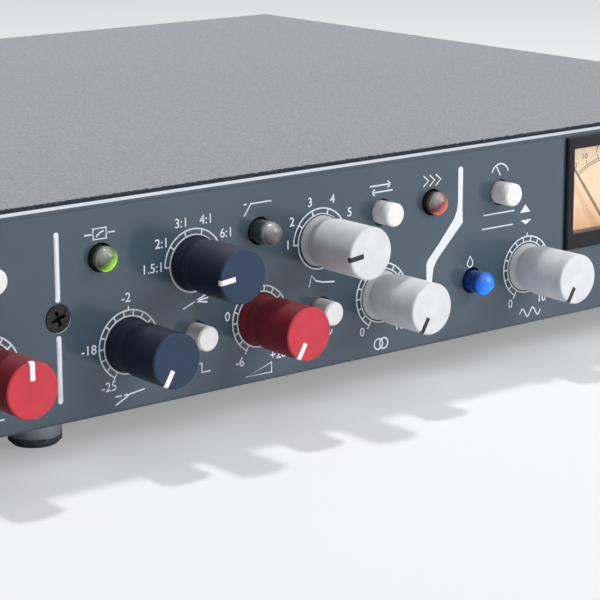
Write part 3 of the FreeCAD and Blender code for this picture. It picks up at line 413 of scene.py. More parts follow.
def lens_finish(name, body, barrel_shade, glow, power, highlight_strength=0.75, spread=(-0.05, 0.6)):
    """Clear dome over a lamp: painted lamp glow low on its right, a painted pale highlight on its
    upper side and painted shade on the barrel.
    """
    nodes = [node for node, finish in DOMES.items() if finish == name]
    f = Finish(name)
    across = up = depth = inside = 0.0
    for node in nodes:
        centre, front = middle(node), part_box(node)[0].y
        dx, dz = (f.x - centre.x) / DOME_RADIUS, (f.z - centre.z) / DOME_RADIUS
        here = (abs(dx) < 1.2) * (abs(dz) < 1.2)
        across, up, inside = here * dx + across, here * dz + up, here + inside
        depth = here * ((f.y - front) / DOME_RADIUS) + depth
    barrel = depth.rise(0.55, 1.2)
    low_right = (across - up) * 0.7
    # Painted lamp glow low on the right, in emission and base colour; on the unlit grey lenses the
    # same mask paints a darker shade there.
    crescent = low_right.rise(*spread) * (1 - barrel) * inside
    # Painted highlight: the upper side is mixed towards pale grey.
    painted_highlight = (low_right * -1.0).rise(0.3, 0.85) * (1 - barrel)
    cloud = f.grain(0.8 * MM, 2.0)
    streak = f.grain(1.1 * MM, 2.0, stretch=(1.0, 0.25, 1.0))
    # Painted shade: the barrel behind the dome takes the darker colour.
    colour = f.mix(barrel * (0.75 + streak * 0.25), body, barrel_shade)
    colour = f.mix(painted_highlight * highlight_strength, colour, tint(196, 196, 196))
    light = f.mix((crescent + (cloud - 0.5) * 0.1).held(), (0, 0, 0), glow)
    return f.surface(Base_Color=f.mix(crescent * 0.7, colour, glow),
                     Roughness=0.2 + cloud * 0.12, Coat_Weight=0.3, Coat_Roughness=0.12,
                     Emission_Color=light, Emission_Strength=power,
                     Normal=f.bump(cloud + streak * 0.5, 0.03 * MM))


def ink_finish(name, colour, dark):
    """Screen-printed ink, a little uneven."""
    f = Finish(name)
    thin = f.grain(0.5 * MM, 3.0)
    return f.surface(Base_Color=f.mix(thin.rise(0.5, 0.85) * 0.5, colour, dark),
                     Roughness=0.5 + thin * 0.12, Normal=f.bump(thin, 0.008 * MM))


def board_finish():
    """Green circuit board with paler tracks and tinned pads."""
    f = Finish("circuit_board")
    cells = f.node("ShaderNodeTexVoronoi", {"distance": "CHEBYCHEV", "feature": "F1"},
                   {"Vector": f.place, "Scale": 1 / (6 * MM), "Randomness": 0.55})
    tracks = (cells * 9.0).wave().rise(0.4, 0.55)
    pads = cells < 0.09
    green = f.mix(tracks, tint(18, 66, 42), tint(34, 96, 60))
    return f.surface(Base_Color=f.mix(pads, green, tint(196, 196, 190)), Metallic=pads * 0.9,
                     Roughness=0.35 + pads * -0.05 + tracks * 0.06,
                     Normal=f.bump(tracks, 0.03 * MM))


def plain_plastic(name, first, second, rough=0.4, grain_size=0.4 * MM, depth=0.03 * MM,
                  shine=0.5):
    f = Finish(name)
    grain = f.grain(grain_size, 3.0)
    cloud = f.grain(8 * MM, 2.0)
    return f.surface(Base_Color=f.mix(cloud.rise(0.3, 0.7), tint(*first), tint(*second)),
                     Roughness=rough + grain * 0.15, Specular_IOR_Level=shine,
                     Normal=f.bump(grain, depth))


def wound_finish():
    """Taped winding: turns of film wrapped round the ring."""
    centre = middle("power_transformer")
    f = Finish("taped_winding")
    turn = f.node("ShaderNodeMath", {"operation": "ARCTAN2"},
                  {0: f.y - centre.y, 1: f.x - centre.x})
    wraps = (turn * 30.0 + f.z / (4 * MM)).wave()
    colour = f.mix(wraps.rise(-0.6, 0.8), tint(120, 94, 30), tint(198, 164, 66))
    return f.surface(Base_Color=colour, Roughness=0.3 + wraps * 0.05, Coat_Weight=0.4,
                     Normal=f.bump(wraps, 0.15 * MM))


def can_finish():
    """Printed sleeve on the capacitors, with their bare tops."""
    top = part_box("capacitors")[1].z
    f = Finish("capacitor_sleeve")
    bare = f.z > top - 0.05 * MM
    stripe = f.grain(14 * MM, 0.0, stretch=(1.0, 1.0, 0.05)).rise(0.6, 0.62)
    sleeve = f.mix(stripe, tint(26, 34, 60), tint(168, 172, 178))
    return f.surface(Base_Color=f.mix(bare, sleeve, tint(190, 190, 192)), Metallic=bare * 0.9,
                     Roughness=0.34 + f.grain(1 * MM, 2.0) * 0.1,
                     Normal=f.bump(f.grain(2 * MM, 2.0), 0.03 * MM))


def dial_finish():
    """Warm paper dial, glowing from the lamps under its lower edge: their light is painted, as
    emission and as an orange tint low down and at the sides.
    """
    low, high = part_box("meter_dial")
    f = Finish("lit_dial")
    up = (f.z - low.z) / (high.z - low.z)
    out = abs(f.x - (low.x + high.x) / 2) / ((high.x - low.x) / 2)
    fibre = f.grain(0.7 * MM, 4.0)
    # Painted lamp glow: the cream paper turns orange low down and at the sides.
    paper = f.mix(up.rise(0.0, 0.4), tint(226, 150, 78), tint(252, 224, 184))
    paper = f.mix(out.rise(0.55, 1.05) * 0.5, paper, tint(236, 160, 92))
    light = f.mix(up.rise(0.0, 0.75), (0.55, 0.26, 0.08), (0.34, 0.25, 0.15))
    return f.surface(Base_Color=f.mix(fibre.rise(0.3, 0.7) * 0.12, paper, tint(200, 160, 110)),
                     Roughness=0.6 + fibre * 0.1, Emission_Color=light, Emission_Strength=0.8,
                     Normal=f.bump(fibre, 0.01 * MM))


def glass_finish():
    """Clear meter glass: a thin gloss with almost nothing behind it."""
    f = Finish("meter_glass")
    smear = f.grain(9 * MM, 3.0)
    return f.surface(Base_Color=(0.9, 0.9, 0.9, 1), Roughness=0.04 + smear * 0.05,
                     Alpha=0.06 + smear * 0.05)


INK_WHITE = tint(240, 246, 252)
# Each side colour is a darker copy of its cap colour: painted shade.
WHITE_CAP, WHITE_SHADED_SIDE = tint(236, 237, 239), tint(226, 227, 228)
RED_CAP, RED_SHADED_SIDE = tint(213, 57, 71), tint(118, 22, 34)
BLUE_CAP, BLUE_SHADED_SIDE = tint(32, 54, 82), tint(14, 26, 46)

FINISHES = {
    "panel": panel_finish(),
    "case": cover_finish(),
    "tray": tray_finish(),
    "screw": black_screw_finish(),
    "plain_steel": steel_finish(),
    "foot": foot_finish(),
    "red_plastic": moulded_finish("red_plastic", RED_CAP, RED_SHADED_SIDE),
    "blue_plastic": moulded_finish("blue_plastic", BLUE_CAP, BLUE_SHADED_SIDE),
    "white_plastic": moulded_finish("white_plastic", WHITE_CAP, WHITE_SHADED_SIDE),
    "ivory_plastic": ivory_finish(),
    "clear_green": lens_finish("clear_green", tint(92, 116, 66), tint(26, 34, 32),
                               tint(150, 222, 0), 0.75),
    "clear_grey": lens_finish("clear_grey", tint(116, 106, 108), tint(58, 68, 74),
                              tint(92, 82, 78), 0.0),
    "clear_red": lens_finish("clear_red", tint(128, 66, 62), tint(34, 26, 32),
                             tint(240, 104, 60), 0.6),
    "clear_blue": lens_finish("clear_blue", tint(0, 104, 240), tint(4, 40, 96),
                              tint(0, 124, 255), 0.8, 0.1, (-1.1, 0.5)),
    "board": board_finish(),
    "black_plastic": plain_plastic("black_plastic", (24, 23, 26), (36, 34, 38)),
    "iron": plain_plastic("magnet_iron", (70, 68, 66), (100, 98, 94), 0.45),
    "dial": dial_finish(),
    "needle": plain_plastic("needle_brown", (132, 100, 66), (156, 120, 82), 0.4),
    "glass": glass_finish(),
    "metal_shell": steel_finish("nickel_shell", (120, 122, 126), (172, 174, 178)),
    "winding": wound_finish(),
    "sleeve": can_finish(),
    "bezel": plain_plastic("bezel_plastic", (22, 21, 28), (32, 31, 39), 0.3, 0.3 * MM,
                           0.015 * MM, 0.22),
    "white_ink": ink_finish("white_ink", INK_WHITE, tint(206, 216, 226)),
    "brown_ink": ink_finish("brown_ink", tint(96, 72, 50), tint(140, 108, 78)),
    "red_ink": ink_finish("red_ink", tint(190, 60, 40), tint(176, 96, 66)),
    "pointer_white": ink_finish("pointer_white", tint(250, 250, 251), tint(232, 234, 238)),
    "pointer_black": ink_finish("pointer_black", tint(26, 26, 28), tint(40, 40, 43)),
    "washer_rubber": plain_plastic("washer_rubber", (10, 10, 12), (20, 20, 22), 0.6),
}

# which nodes each finish goes on
WORN_BY = {
    "panel": "front_panel", "case": "top_cover", "tray": "chassis_tray rear_panel",
    "screw": "panel_screws case_screws",
    "plain_steel": "panel_pillars board_spacers transformer_bolt", "foot": "feet",
    "red_plastic": "red_nut_covers", "blue_plastic": "blue_nut_covers",
    "white_plastic": "white_nut_covers",
    "metal_shell": "potentiometers audio_transformers jack_nut",
    "black_plastic": "push_switches power_frame power_rocker instrument_jack xlr_input "
                     "xlr_output mains_inlet",
    "board": "control_board main_board", "sleeve": "capacitors", "winding": "power_transformer",
    "bezel": "meter_case", "glass": "meter_glass", "dial": "meter_dial",
    "iron": "meter_movement", "needle": "meter_needle",
}
NODE_FINISH = {node: finish for finish, nodes in WORN_BY.items() for node in nodes.split()}
NODE_FINISH.update({name: colour + "_plastic" for name, (colour, _, _) in KNOBS.items()})
NODE_FINISH.update(DOMES)
NODE_FINISH.update({name: "ivory_plastic" for name in FLATS})

for name, node in frame["nodes"].items():
    if not node.material_slots:
        node.data.materials.append(None)
    for place in node.material_slots:
        place.material = FINISHES[NODE_FINISH[name]]


# ------------ pieces
def piece_from(name, mesh, finish, body="unit"):
    mesh.name = name
    made = placed(name, mesh)
    mesh.materials.clear()
    mesh.materials.append(FINISHES[finish])
    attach(made, body)
    return made


def mesh_of(form, mesh=None):
    """Writes the form into the mesh, or into a new one."""
    mesh = mesh or bpy.data.meshes.new("form")
    form.to_mesh(mesh)
    form.free()
    return mesh


def plain_mesh(made):
    """The mesh that an object comes to; the object itself goes."""
    made.update_tag()
    bpy.context.view_layer.update()
    graph = bpy.context.evaluated_depsgraph_get()
    mesh = bpy.data.meshes.new_from_object(made.evaluated_get(graph))
    made.modifiers.clear()
    bpy.data.objects.remove(made)
    return mesh


EDGE_ANGLE = math.radians(30.0)


def shaded(mesh):
    """Smooth faces, with an edge kept wherever two meet at a sharper angle."""
    form = bmesh.new()
    form.from_mesh(mesh)
    for face in form.faces:
        face.smooth = True
    for edge in form.edges:
        edge.smooth = (len(edge.link_faces) == 2
                       and edge.calc_face_angle(0.0) < EDGE_ANGLE)
    return mesh_of(form, mesh)


class Layout(Net):
    """A geometry tree; its sizes are named inputs and it ends in one finish."""

    def __init__(self, name, shape=False, **sizes):
        tree = bpy.data.node_groups.new(name, "GeometryNodeTree")
        super().__init__(tree)
        face = tree.interface
        if shape:
            face.new_socket("Shape", in_out="INPUT", socket_type="NodeSocketGeometry")
        face.new_socket("Geometry", in_out="OUTPUT", socket_type="NodeSocketGeometry")
        for title, default in sizes.items():
            kind = "NodeSocketInt" if isinstance(default, int) else "NodeSocketFloat"
            made = face.new_socket(title, in_out="INPUT", socket_type=kind)
            made.default_value = default
        self.start = tree.nodes.new("NodeGroupInput")
        self.end = tree.nodes.new("NodeGroupOutput")

    def given(self, title):
        return Value(self, self.start.outputs[title])

    def join(self, *parts):
        made = self.tree.nodes.new("GeometryNodeJoinGeometry")
        for part in parts:
            self.tree.links.new(part.socket, made.inputs[0])
        return Value(self, made.outputs[0])

    def band(self, curve, width, height):
        """A flat band of that width and height along a level curve."""
        level = self.node("GeometryNodeSetCurveNormal", {"mode": "Z_UP"}, {"Curve": curve})
        profile = self.node("GeometryNodeCurvePrimitiveQuadrilateral", None,
                            {"Width": width, "Height": height})
        return self.node("GeometryNodeCurveToMesh", None,
                         {"Curve": level, "Profile Curve": profile, "Fill Caps": True})

    def copies(self, points, thing, turn=0.0):
        """The thing at each point, turned in the plane."""
        return self.node("GeometryNodeInstanceOnPoints", None,
                         {"Points": points, "Instance": thing,
                          "Rotation": self.together(0.0, 0.0, turn)})

    def close(self, geometry, finish):
        real = self.node("GeometryNodeRealizeInstances", None, {0: geometry})
        coated = self.node("GeometryNodeSetMaterial", None,
                           {"Geometry": real, "Material": FINISHES[finish]})
        self.tree.links.new(coated.socket, self.end.inputs[0])
        return self.tree


def grown(tree, start=None, **sizes):
    """The plain mesh that a tree makes from these sizes."""
    seed = placed("seed", start or bpy.data.meshes.new("seed"))
    live = seed.modifiers.new("tree", "NODES")
    live.node_group = tree
    for item in tree.interface.items_tree:
        if item.in_out == "INPUT" and item.name in sizes:
            live[item.identifier] = sizes[item.name]
    return plain_mesh(seed)


def gathered(parts):
    """One mesh from (mesh, matrix) pairs."""
    form = bmesh.new()
    for mesh, place in parts:
        first = len(form.verts)
        form.from_mesh(mesh)
        form.verts.ensure_lookup_table()
        bmesh.ops.transform(form, matrix=place, verts=form.verts[first:])
    return mesh_of(form)


# ------------ printing
# Artwork is laid out flat, x right, y up from the panel's bottom edge and z
# for the ink's thickness, and then stood up against the panel's face.
INK = 0.03 * MM
STAND = standing(FACE, z=EDGE)


def scale_tree():
    """Two arcs joined by radial dividers, with outward marks."""
    t = Layout("dial_scale", Outer=7.5, Inner=6.3, Line=0.17, Ink=0.03, Start=-150.0,
               Sweep=300.0, Ring=300.0, Gaps=15, Marks=3, Mark=0.9)
    degree = math.pi / 180
    start, sweep, ring = t.given("Start") * degree, t.given("Sweep") * degree, t.given("Ring")
    line, ink = t.given("Line"), t.given("Ink")

    def arc(radius):
        return t.node("GeometryNodeCurveArc", {"mode": "RADIUS"},
                      {"Resolution": 97, "Radius": radius, "Start Angle": math.pi / 2 - start,
                       "Sweep Angle": sweep * -1.0})

    outer = t.band(arc(t.given("Outer")), line, ink)
    whole = t.node("GeometryNodeCurvePrimitiveCircle", None,
                   {"Resolution": 96, "Radius": t.given("Inner")})
    inner = t.band(t.node("GeometryNodeSwitch", {"input_type": "GEOMETRY"},
                          {"Switch": ring > 359.0, "False": arc(t.given("Inner")),
                           "True": whole}), line, ink)
    index = t.node("GeometryNodeInputIndex")

    def bars(count, step, radius, length):
        turn = start + index * step
        points = t.node("GeometryNodePoints", None,
                        {"Count": count, "Position": t.together(turn.wave() * radius,
                                                               turn.cosine() * radius, 0.0)})
        bar = t.node("GeometryNodeMeshCube", None,
                     {"Size": t.together(line, length, ink * 0.9)})
        return t.copies(points, bar, turn * -1.0)

    gaps = t.given("Gaps")
    dividers = bars(gaps + 1.0, sweep / gaps, (t.given("Outer") + t.given("Inner")) * 0.5,
                    t.given("Outer") - t.given("Inner"))
    mark, marks = t.given("Mark"), t.given("Marks")
    ticks = bars(marks, sweep / (marks - 1.0).most(1.0), t.given("Outer") + mark * 0.5, mark)
    return t.close(t.join(outer, inner, dividers, ticks), "white_ink")


def stroke_tree():
    """Flat pen strokes along the start mesh's edges, rounded at every corner."""
    t = Layout("pen_stroke", shape=True, Width=0.3, Ink=0.03)
    width, ink = t.given("Width"), t.given("Ink")
    path = t.node("GeometryNodeMeshToCurve", None, {"Mesh": t.given("Shape")})
    dot = t.node("GeometryNodeMeshCylinder", None,
                 {"Vertices": 16, "Radius": width * 0.5, "Depth": ink * 1.25})
    return t.close(t.join(t.band(path, width, ink), t.copies(t.given("Shape"), dot)),
                   "white_ink")


def wire(*lines):
    """A mesh of bare edges through each line's points, in millimetres."""
    mesh = bpy.data.meshes.new("wire")
    points, edges = [], []
    for line in lines:
        first = len(points)
        points += [(x * MM, y * MM, 0.0) for x, y in line]
        edges += [(first + i, first + i + 1) for i in range(len(line) - 1)]
        if line[0] == line[-1]:
            points.pop()
            edges[-1] = (len(points) - 1, first)
    mesh.from_pydata(points, edges, [])
    return mesh


def flat(x, y):
    """Where artwork goes on the panel, from the panel's middle and bottom edge, in mm."""
    return STAND @ Matrix.Translation((x * MM, y * MM, INK / 2))


SCALE, STROKE = scale_tree(), stroke_tree()


def figures(words, height, weight=0.0):
    """Numbers as a thin mesh, centred."""
    curve = bpy.data.curves.new("figures", "FONT")
    curve.body = words
    curve.size = height / 0.7
    curve.align_x, curve.align_y = "CENTER", "CENTER"
    curve.extrude = INK / 2
    curve.offset = weight
    curve.space_character = 1.02
    mesh = plain_mesh(placed("figures", curve))
    low = Vector(min(v.co[i] for v in mesh.vertices) for i in range(3))
    high = Vector(max(v.co[i] for v in mesh.vertices) for i in range(3))
    mesh.transform(Matrix.Translation(-(low + high) / 2))
    form = bmesh.new()
    form.from_mesh(mesh)
    bmesh.ops.remove_doubles(form, verts=form.verts, dist=1e-7)
    bmesh.ops.recalc_face_normals(form, faces=form.faces)
    return mesh_of(form, mesh)


FINE, FINE_WEIGHT = 1.95, 0.02   # height of the numbers and what thickens them, mm
# radii of a knob's scale, width of its lines and length of its marks
KNOB_SCALE = dict(Outer=7.25 * MM, Inner=6.0 * MM, Line=0.33 * MM, Mark=0.9 * MM, Ink=INK)
HALF_SHIFT = 0.2                 # how far the rotary switches' scales sit off the axis, mm
FULL = dict(Start=-150.0, Sweep=300.0, Ring=360.0, Gaps=15, Marks=3)
HALF = dict(Start=-90.0, Sweep=180.0, Ring=360.0, Gaps=5, Marks=0)
# scale's form, then each number with its place from the knob's axis, mm
SCALES = {
    "threshold": (FULL, (("-25", -5.1, -7.95), ("-18", -9.7, 0.4), ("-2", -0.5, 9.95),
                         ("+20", 5.5, -7.6))),
    "makeup": (FULL, (("-6", -5.45, -8.5), ("0", -8.6, 1.9), ("+20", 4.8, -8.4))),
    "percent": (FULL, (("0", -5.6, -7.5), ("50", 0.0, 10.1), ("100", 6.2, -7.6))),
    "amount": (FULL, (("0", -4.9, -8.1), ("10", 5.4, -8.1))),
    "gain": (FULL, (("0", -5.2, -7.6), ("35", 0.0, 10.1), ("70", 5.5, -7.6))),
    "level": (FULL, (("-10", -5.3, -7.6), ("0", 0.0, 10.1), ("+10", 5.5, -7.6))),
    "tone": (FULL, (("-15", -5.3, -7.6), ("0", 0.0, 10.1), ("+15", 5.5, -7.6))),
    "hertz": (FULL, (("20", -5.2, -7.6), ("70", -9.6, 0.5), ("160", 0.0, 10.1),
                     ("250", 5.7, -7.6))),
    "kilohertz": (FULL, (("0.2", -5.3, -7.6), ("1", 0.0, 10.1), ("7", 5.3, -7.6))),
    "ratio": (HALF, (("1.5:1", -10.5, 0.3), ("2:1", -8.4, 5.2), ("3:1", -3.4, 8.8),
                     ("4:1", 2.8, 8.8), ("6:1", 8.0, 5.3))),
    "timing": (HALF, (("1", -9.0, 0.3), ("2", -7.9, 5.2), ("3", -3.0, 8.8), ("4", 3.2, 8.8),
                      ("5", 8.0, 5.3))),
}


def ring(radius, start, sweep, steps, cx=0.0, cy=0.0):
    return [(cx + radius * math.cos(math.radians(start + sweep * i / steps)),
             cy + radius * math.sin(math.radians(start + sweep * i / steps)))
            for i in range(steps + 1)]


def looped(points):
    return points[:-1] + [points[0]]


# small signs in place of words: what each control does, drawn in a few strokes
SIGNS = {
    "knee": [[(-3, -1), (0, 0.5), (3, 0.9)], [(-3, 0.5), (-1.9, 0.5)], [(-1.2, 0.5), (-0.6, 0.5)]],
    "slopes": [[(-2.6, -1), (0, 0), (2.6, 1)], [(0, 0), (2.8, 0.3)], [(0, 0), (2.6, -0.5)]],
    "wedge": [[(-3, -1), (3, -1), (3, 1), (-3, -1)]],
    "decay": [[(-3, -1), (-2.4, 1), (-1.4, -0.1), (0.2, -0.6), (3, -0.9)]],
    "overlap": [looped(ring(1.1, 0, 360, 18, -0.7)), looped(ring(1.1, 0, 360, 18, 0.7))],
    "ripple": [[(x / 4, math.sin(x / 4 * 2.1) * 0.9) for x in range(-12, 13)]],
    "gate": [[(-3.2, 0), (-1.4, 0), (-1.4, 1), (1.4, 1), (1.4, 0), (3.2, 0)],
             [(-1.4, 0), (-1.4, -1), (1.4, -1), (1.4, 0)],
             [(-0.7, -0.45), (0.1, 0.2), (0.8, 0.4)]],
    "low_cut": [[(-3, -1), (-1.6, 0.9), (2.6, 0.9)], [(-3, 0.9), (-2.6, 0.9)]],
    "swap": [[(-2.6, 0.6), (2.4, 0.6)], [(1.6, 1.1), (2.4, 0.6), (1.6, 0.1)],
             [(2.6, -0.6), (-2.4, -0.6)], [(-1.6, -0.1), (-2.4, -0.6), (-1.6, -1.1)]],
    "quick": [[(-1.8, 1), (-0.6, 0), (-1.8, -1)], [(-0.2, 1), (1.0, 0), (-0.2, -1)],
              [(1.4, 1), (2.6, 0), (1.4, -1)]],
    "pointer": [ring(2.3, 20, 140, 12, 0, -1.3), [(0, -1.2), (-1.1, 0.7)]],
    "drop": [looped([(0, 1.3), (0.75, 0.1), (0.8, -0.5), (0.4, -1), (0, -1.1), (-0.4, -1),
                     (-0.8, -0.5), (-0.75, 0.1), (0, 1.3)])],
    "loop": [[(-2.6, -0.8), (-0.8, -0.8), (-0.8, 0.9), (0.8, 0.9), (0.8, -0.8), (2.6, -0.8)]],
    "line": [[(-4.1, 0), (4.1, 0)]],
    "bell": [[(-3, -0.9), (-1.4, -0.7), (-0.5, 0.6), (0, 0.9), (0.5, 0.6), (1.4, -0.7),
              (3, -0.9)]],
    "shelf": [[(-3, -0.8), (-0.8, -0.8), (0.8, 0.8), (3, 0.8)]],
    "shelf_low": [[(-3, 0.8), (-0.8, 0.8), (0.8, -0.8), (3, -0.8)]],
    "turned": [looped(ring(1.0, 0, 360, 16)), [(-0.9, -1.2), (0.9, 1.2)]],
}
# sign, its middle from the panel's middle and bottom edge in mm, and its size over SIGNS
LEGENDS = (
    ("knee", 0.3, 2.85, 1.15), ("slopes", 16.9, 20.25, 1.15), ("wedge", 33.5, 2.75, 1.1),
    ("decay", 50.6, 19.95, 1.15), ("overlap", 67.6, 2.75, 1.1), ("ripple", 113.6, 2.75, 1.1),
    ("gate", -6.2, 37.7, 1.1), ("low_cut", 33.6, 37.8, 1.25), ("swap", 67.4, 37.8, 1.2),
    ("quick", 81.9, 37.8, 1.15), ("pointer", 103.1, 38.0, 1.15),
    ("line", 103.0, 27.7, 1.15), ("line", 102.6, 24.5, 1.15), ("drop", 94.2, 17.4, 1.05),
    ("loop", 17.5, 5.7, 1.15), ("ripple", 50.4, 8.2, 1.05),
    ("wedge", -150.1, 2.75, 1.1), ("wedge", -133.4, 20.0, 1.1), ("low_cut", -116.6, 2.75, 1.1),
    ("shelf_low", -83.1, 20.0, 1.1), ("bell", -66.4, 2.75, 1.1), ("bell", -49.6, 20.0, 1.1),
    ("shelf", -32.9, 2.75, 1.1), ("gate", -150.1, 37.7, 1.1), ("turned", -133.4, 8.0, 1.1),
    ("low_cut", -116.6, 37.7, 1.1), ("bell", -83.1, 8.2, 1.1), ("shelf", -32.9, 37.8, 1.1),
    ("wedge", 181.0, 2.75, 1.1), ("ripple", -186.0, 33.5, 1.1),
)
PEN = 0.33                       # width of a sign's strokes, mm
# straight lines between the sections, each with its two ends, above and below a screw, mm
DIVIDERS = [((x, top), (x, foot)) for x in (-99.9, -16.4)
            for top, foot in ((38.7, 25.7), (17.8, 4.9))]
DIVIDER_WIDTH = 1.15
# the stepped line before the meter section, and two filled arrow heads
STEPPED_LINE = (ring(0.7, 0, 180, 10, 90.9, 39.2)
                + [(90.2, 31.6), (89.9, 29.9), (89.1, 28.2), (84.8, 23.3), (81.2, 19.6),
                   (80.85, 18.6), (80.95, 15.0), (81.2, 11.0)]
                + ring(0.62, 180, 180, 10, 81.85, 5.2)
                + [(82.5, 11.0), (82.6, 15.0), (82.95, 17.6), (84.0, 19.4), (87.3, 22.7),
                   (91.75, 27.0), (91.6, 30.0)])
ARROW_UP = ((109.7, 26.8), (113.0, 26.8), (111.35, 28.7))
ARROW_DOWN = ((109.9, 25.0), (113.4, 25.0), (111.65, 23.9))


def slab(points):
    """A flat patch of ink inside a closed outline, mm."""
    form = bmesh.new()
    face = form.faces.new([form.verts.new((x * MM, y * MM, -INK / 2)) for x, y in points])
    lifted = bmesh.ops.extrude_face_region(form, geom=[face])["geom"]
    bmesh.ops.translate(form, vec=(0, 0, INK),
                        verts=[part for part in lifted if isinstance(part, bmesh.types.BMVert)])
    bmesh.ops.triangulate(form, faces=form.faces)
    bmesh.ops.recalc_face_normals(form, faces=form.faces)
    return mesh_of(form)


def drawn(lines, width):
    """Pen strokes of that width in mm along each line's points."""
    return grown(STROKE, wire(*lines), Width=width * MM, Ink=INK)


def print_panel():
    scales, numbers = [], []
    full, half = grown(SCALE, **KNOB_SCALE, **FULL), grown(SCALE, **KNOB_SCALE, **HALF)
    for node, (_, _, kind) in KNOBS.items():
        form, words = SCALES[kind]
        x, z = AXIS[node].x / MM, (AXIS[node].z - EDGE) / MM
        if form is FULL:
            scales.append((full, flat(x, z)))
        else:
            scales.append((half, flat(x - HALF_SHIFT, z - HALF_SHIFT / 2)))
        numbers += [(figures(body, FINE * MM, FINE_WEIGHT * MM), flat(x + dx, z + dz))
                    for body, dx, dz in words]
    signs = [(drawn([[(a * size, b * size) for a, b in line] for line in SIGNS[sign]], PEN),
              flat(x, z)) for sign, x, z, size in LEGENDS]
    signs += [(slab(ARROW_UP), flat(0, 0)), (slab(ARROW_DOWN), flat(0, 0))]
    lines = [(drawn([points], DIVIDER_WIDTH), flat(0, 0)) for points in DIVIDERS]
    lines.append((slab(STEPPED_LINE), flat(0, 0)))
    for name, parts in (("knob_scales", scales), ("scale_numbers", numbers),
                        ("control_signs", signs), ("section_lines", lines)):
        piece_from(name, gathered(parts), "white_ink")


print_panel()


# ------------ dial of the meter
DIAL_TURN, DIAL_SWEEP = -33.0, 66.0          # of its scale, from upright
DIAL_NUMBERS = ("20", "10", "7", "5", "3", "0", "3")
DIAL_FINE = 1.35 * MM                        # height of the numbers
DIAL_OUT = 21.9 * MM                         # and how far out they stand
DIAL_ARC = dict(Outer=19.5 * MM, Inner=18.9 * MM, Line=0.14 * MM, Mark=1.2 * MM, Gaps=24)
RED_ARC = dict(Outer=18.6 * MM, Inner=18.25 * MM, Line=0.3 * MM, Mark=0.5 * MM, Gaps=2)


def print_dial():
    """Arc, marks and numbers round the needle's axis, with its top end in red."""
    pivot = AXIS["meter_needle"]
    place = (standing(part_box("meter_dial")[0].y, pivot.x, pivot.z)
             @ Matrix.Translation((0, 0, INK / 2)))
    last = len(DIAL_NUMBERS) - 1
    step = DIAL_SWEEP / last
    brown = [(grown(SCALE, Start=DIAL_TURN, Sweep=DIAL_SWEEP, Ring=0.0, Ink=INK,
                    Marks=last + 1, **DIAL_ARC), place)]
    for i, number in enumerate(DIAL_NUMBERS):
        turn = math.radians(DIAL_TURN + step * i)
        out = Vector((math.sin(turn), math.cos(turn), 0)) * DIAL_OUT
        brown.append((figures(number, DIAL_FINE), place @ Matrix.Translation(out)))
    red = grown(SCALE, Start=DIAL_TURN + step * (last - 1), Sweep=step, Ring=0.0, Ink=INK,
                Marks=0, **RED_ARC)
    piece_from("meter_scale", gathered(brown), "brown_ink")
    piece_from("meter_red_arc", gathered([(red, place)]), "red_ink")


print_dial()


# ------------ washers and screws
def washer_tree():
    """Flat rings round the start mesh's points."""
    t = Layout("nut_washers", shape=True, Outer=5.84, Inner=5.62, Thick=0.1)
    outer, inner = t.given("Outer"), t.given("Inner")
    circle = t.node("GeometryNodeCurvePrimitiveCircle", None,
                    {"Resolution": 72, "Radius": (outer + inner) * 0.5})
    washer = t.band(circle, outer - inner, t.given("Thick"))
    return t.close(t.copies(t.given("Shape"), washer), "washer_rubber")


def screw_tree():
    """Cross-recessed screws, each turned its own way, standing on the start mesh's points."""
    t = Layout("cross_screws", shape=True, Head=2.8, Rise=1.6, Round=5.0, Cone=0.02, Shank=1.4,
               Length=4.0, Arm=3.1, Recess=1.0, Turn=0.0)
    head, rise, cone = t.given("Head"), t.given("Rise"), t.given("Cone")
    arm, recess, length = t.given("Arm"), t.given("Recess"), t.given("Length")

    def moved(mesh, up):
        return t.node("GeometryNodeTransform", None,
                      {"Geometry": mesh, "Translation": t.together(0.0, 0.0, up)})

    def cut(operation, *meshes):
        made = t.tree.nodes.new("GeometryNodeMeshBoolean")
        made.operation = operation
        first = 0 if operation == "DIFFERENCE" else 1
        for i, mesh in enumerate(meshes):
            t.tree.links.new(mesh.socket, made.inputs[max(first, min(i, 1))])
        return Value(t, made.outputs[0])

    barrel = moved(t.node("GeometryNodeMeshCylinder", None,
                          {"Vertices": 48, "Radius": head, "Depth": rise}), rise * 0.5)
    crown = moved(t.node("GeometryNodeMeshUVSphere", None,
                         {"Segments": 48, "Rings": 64, "Radius": t.given("Round")}),
                  rise - t.given("Round"))
    under = moved(t.node("GeometryNodeMeshCone", None,
                         {"Vertices": 48, "Radius Top": head, "Radius Bottom": t.given("Shank"),
                          "Depth": cone}), cone * -1.0)
    arms = [moved(t.node("GeometryNodeMeshCube", None, {"Size": size}), rise) for size in
            (t.together(arm, arm * 0.22, recess * 2.0), t.together(arm * 0.22, arm, recess * 2.0))]
    shank = moved(t.node("GeometryNodeMeshCylinder", None,
                         {"Vertices": 32, "Radius": t.given("Shank"), "Depth": length - cone}),
                  (length + cone) * -0.5)
    screw = t.join(cut("DIFFERENCE", cut("INTERSECT", barrel, crown), *arms),
                   cut("DIFFERENCE", under, *arms), shank)
    turn = t.given("Turn") + t.node("GeometryNodeInputIndex") * 1.1
    return t.close(t.copies(t.given("Shape"), screw, turn), "screw")


def dots(points):
    """A mesh of bare points."""
    mesh = bpy.data.meshes.new("dots")
    mesh.from_pydata([(x, y, 0) for x, y in points], [], [])
    return mesh


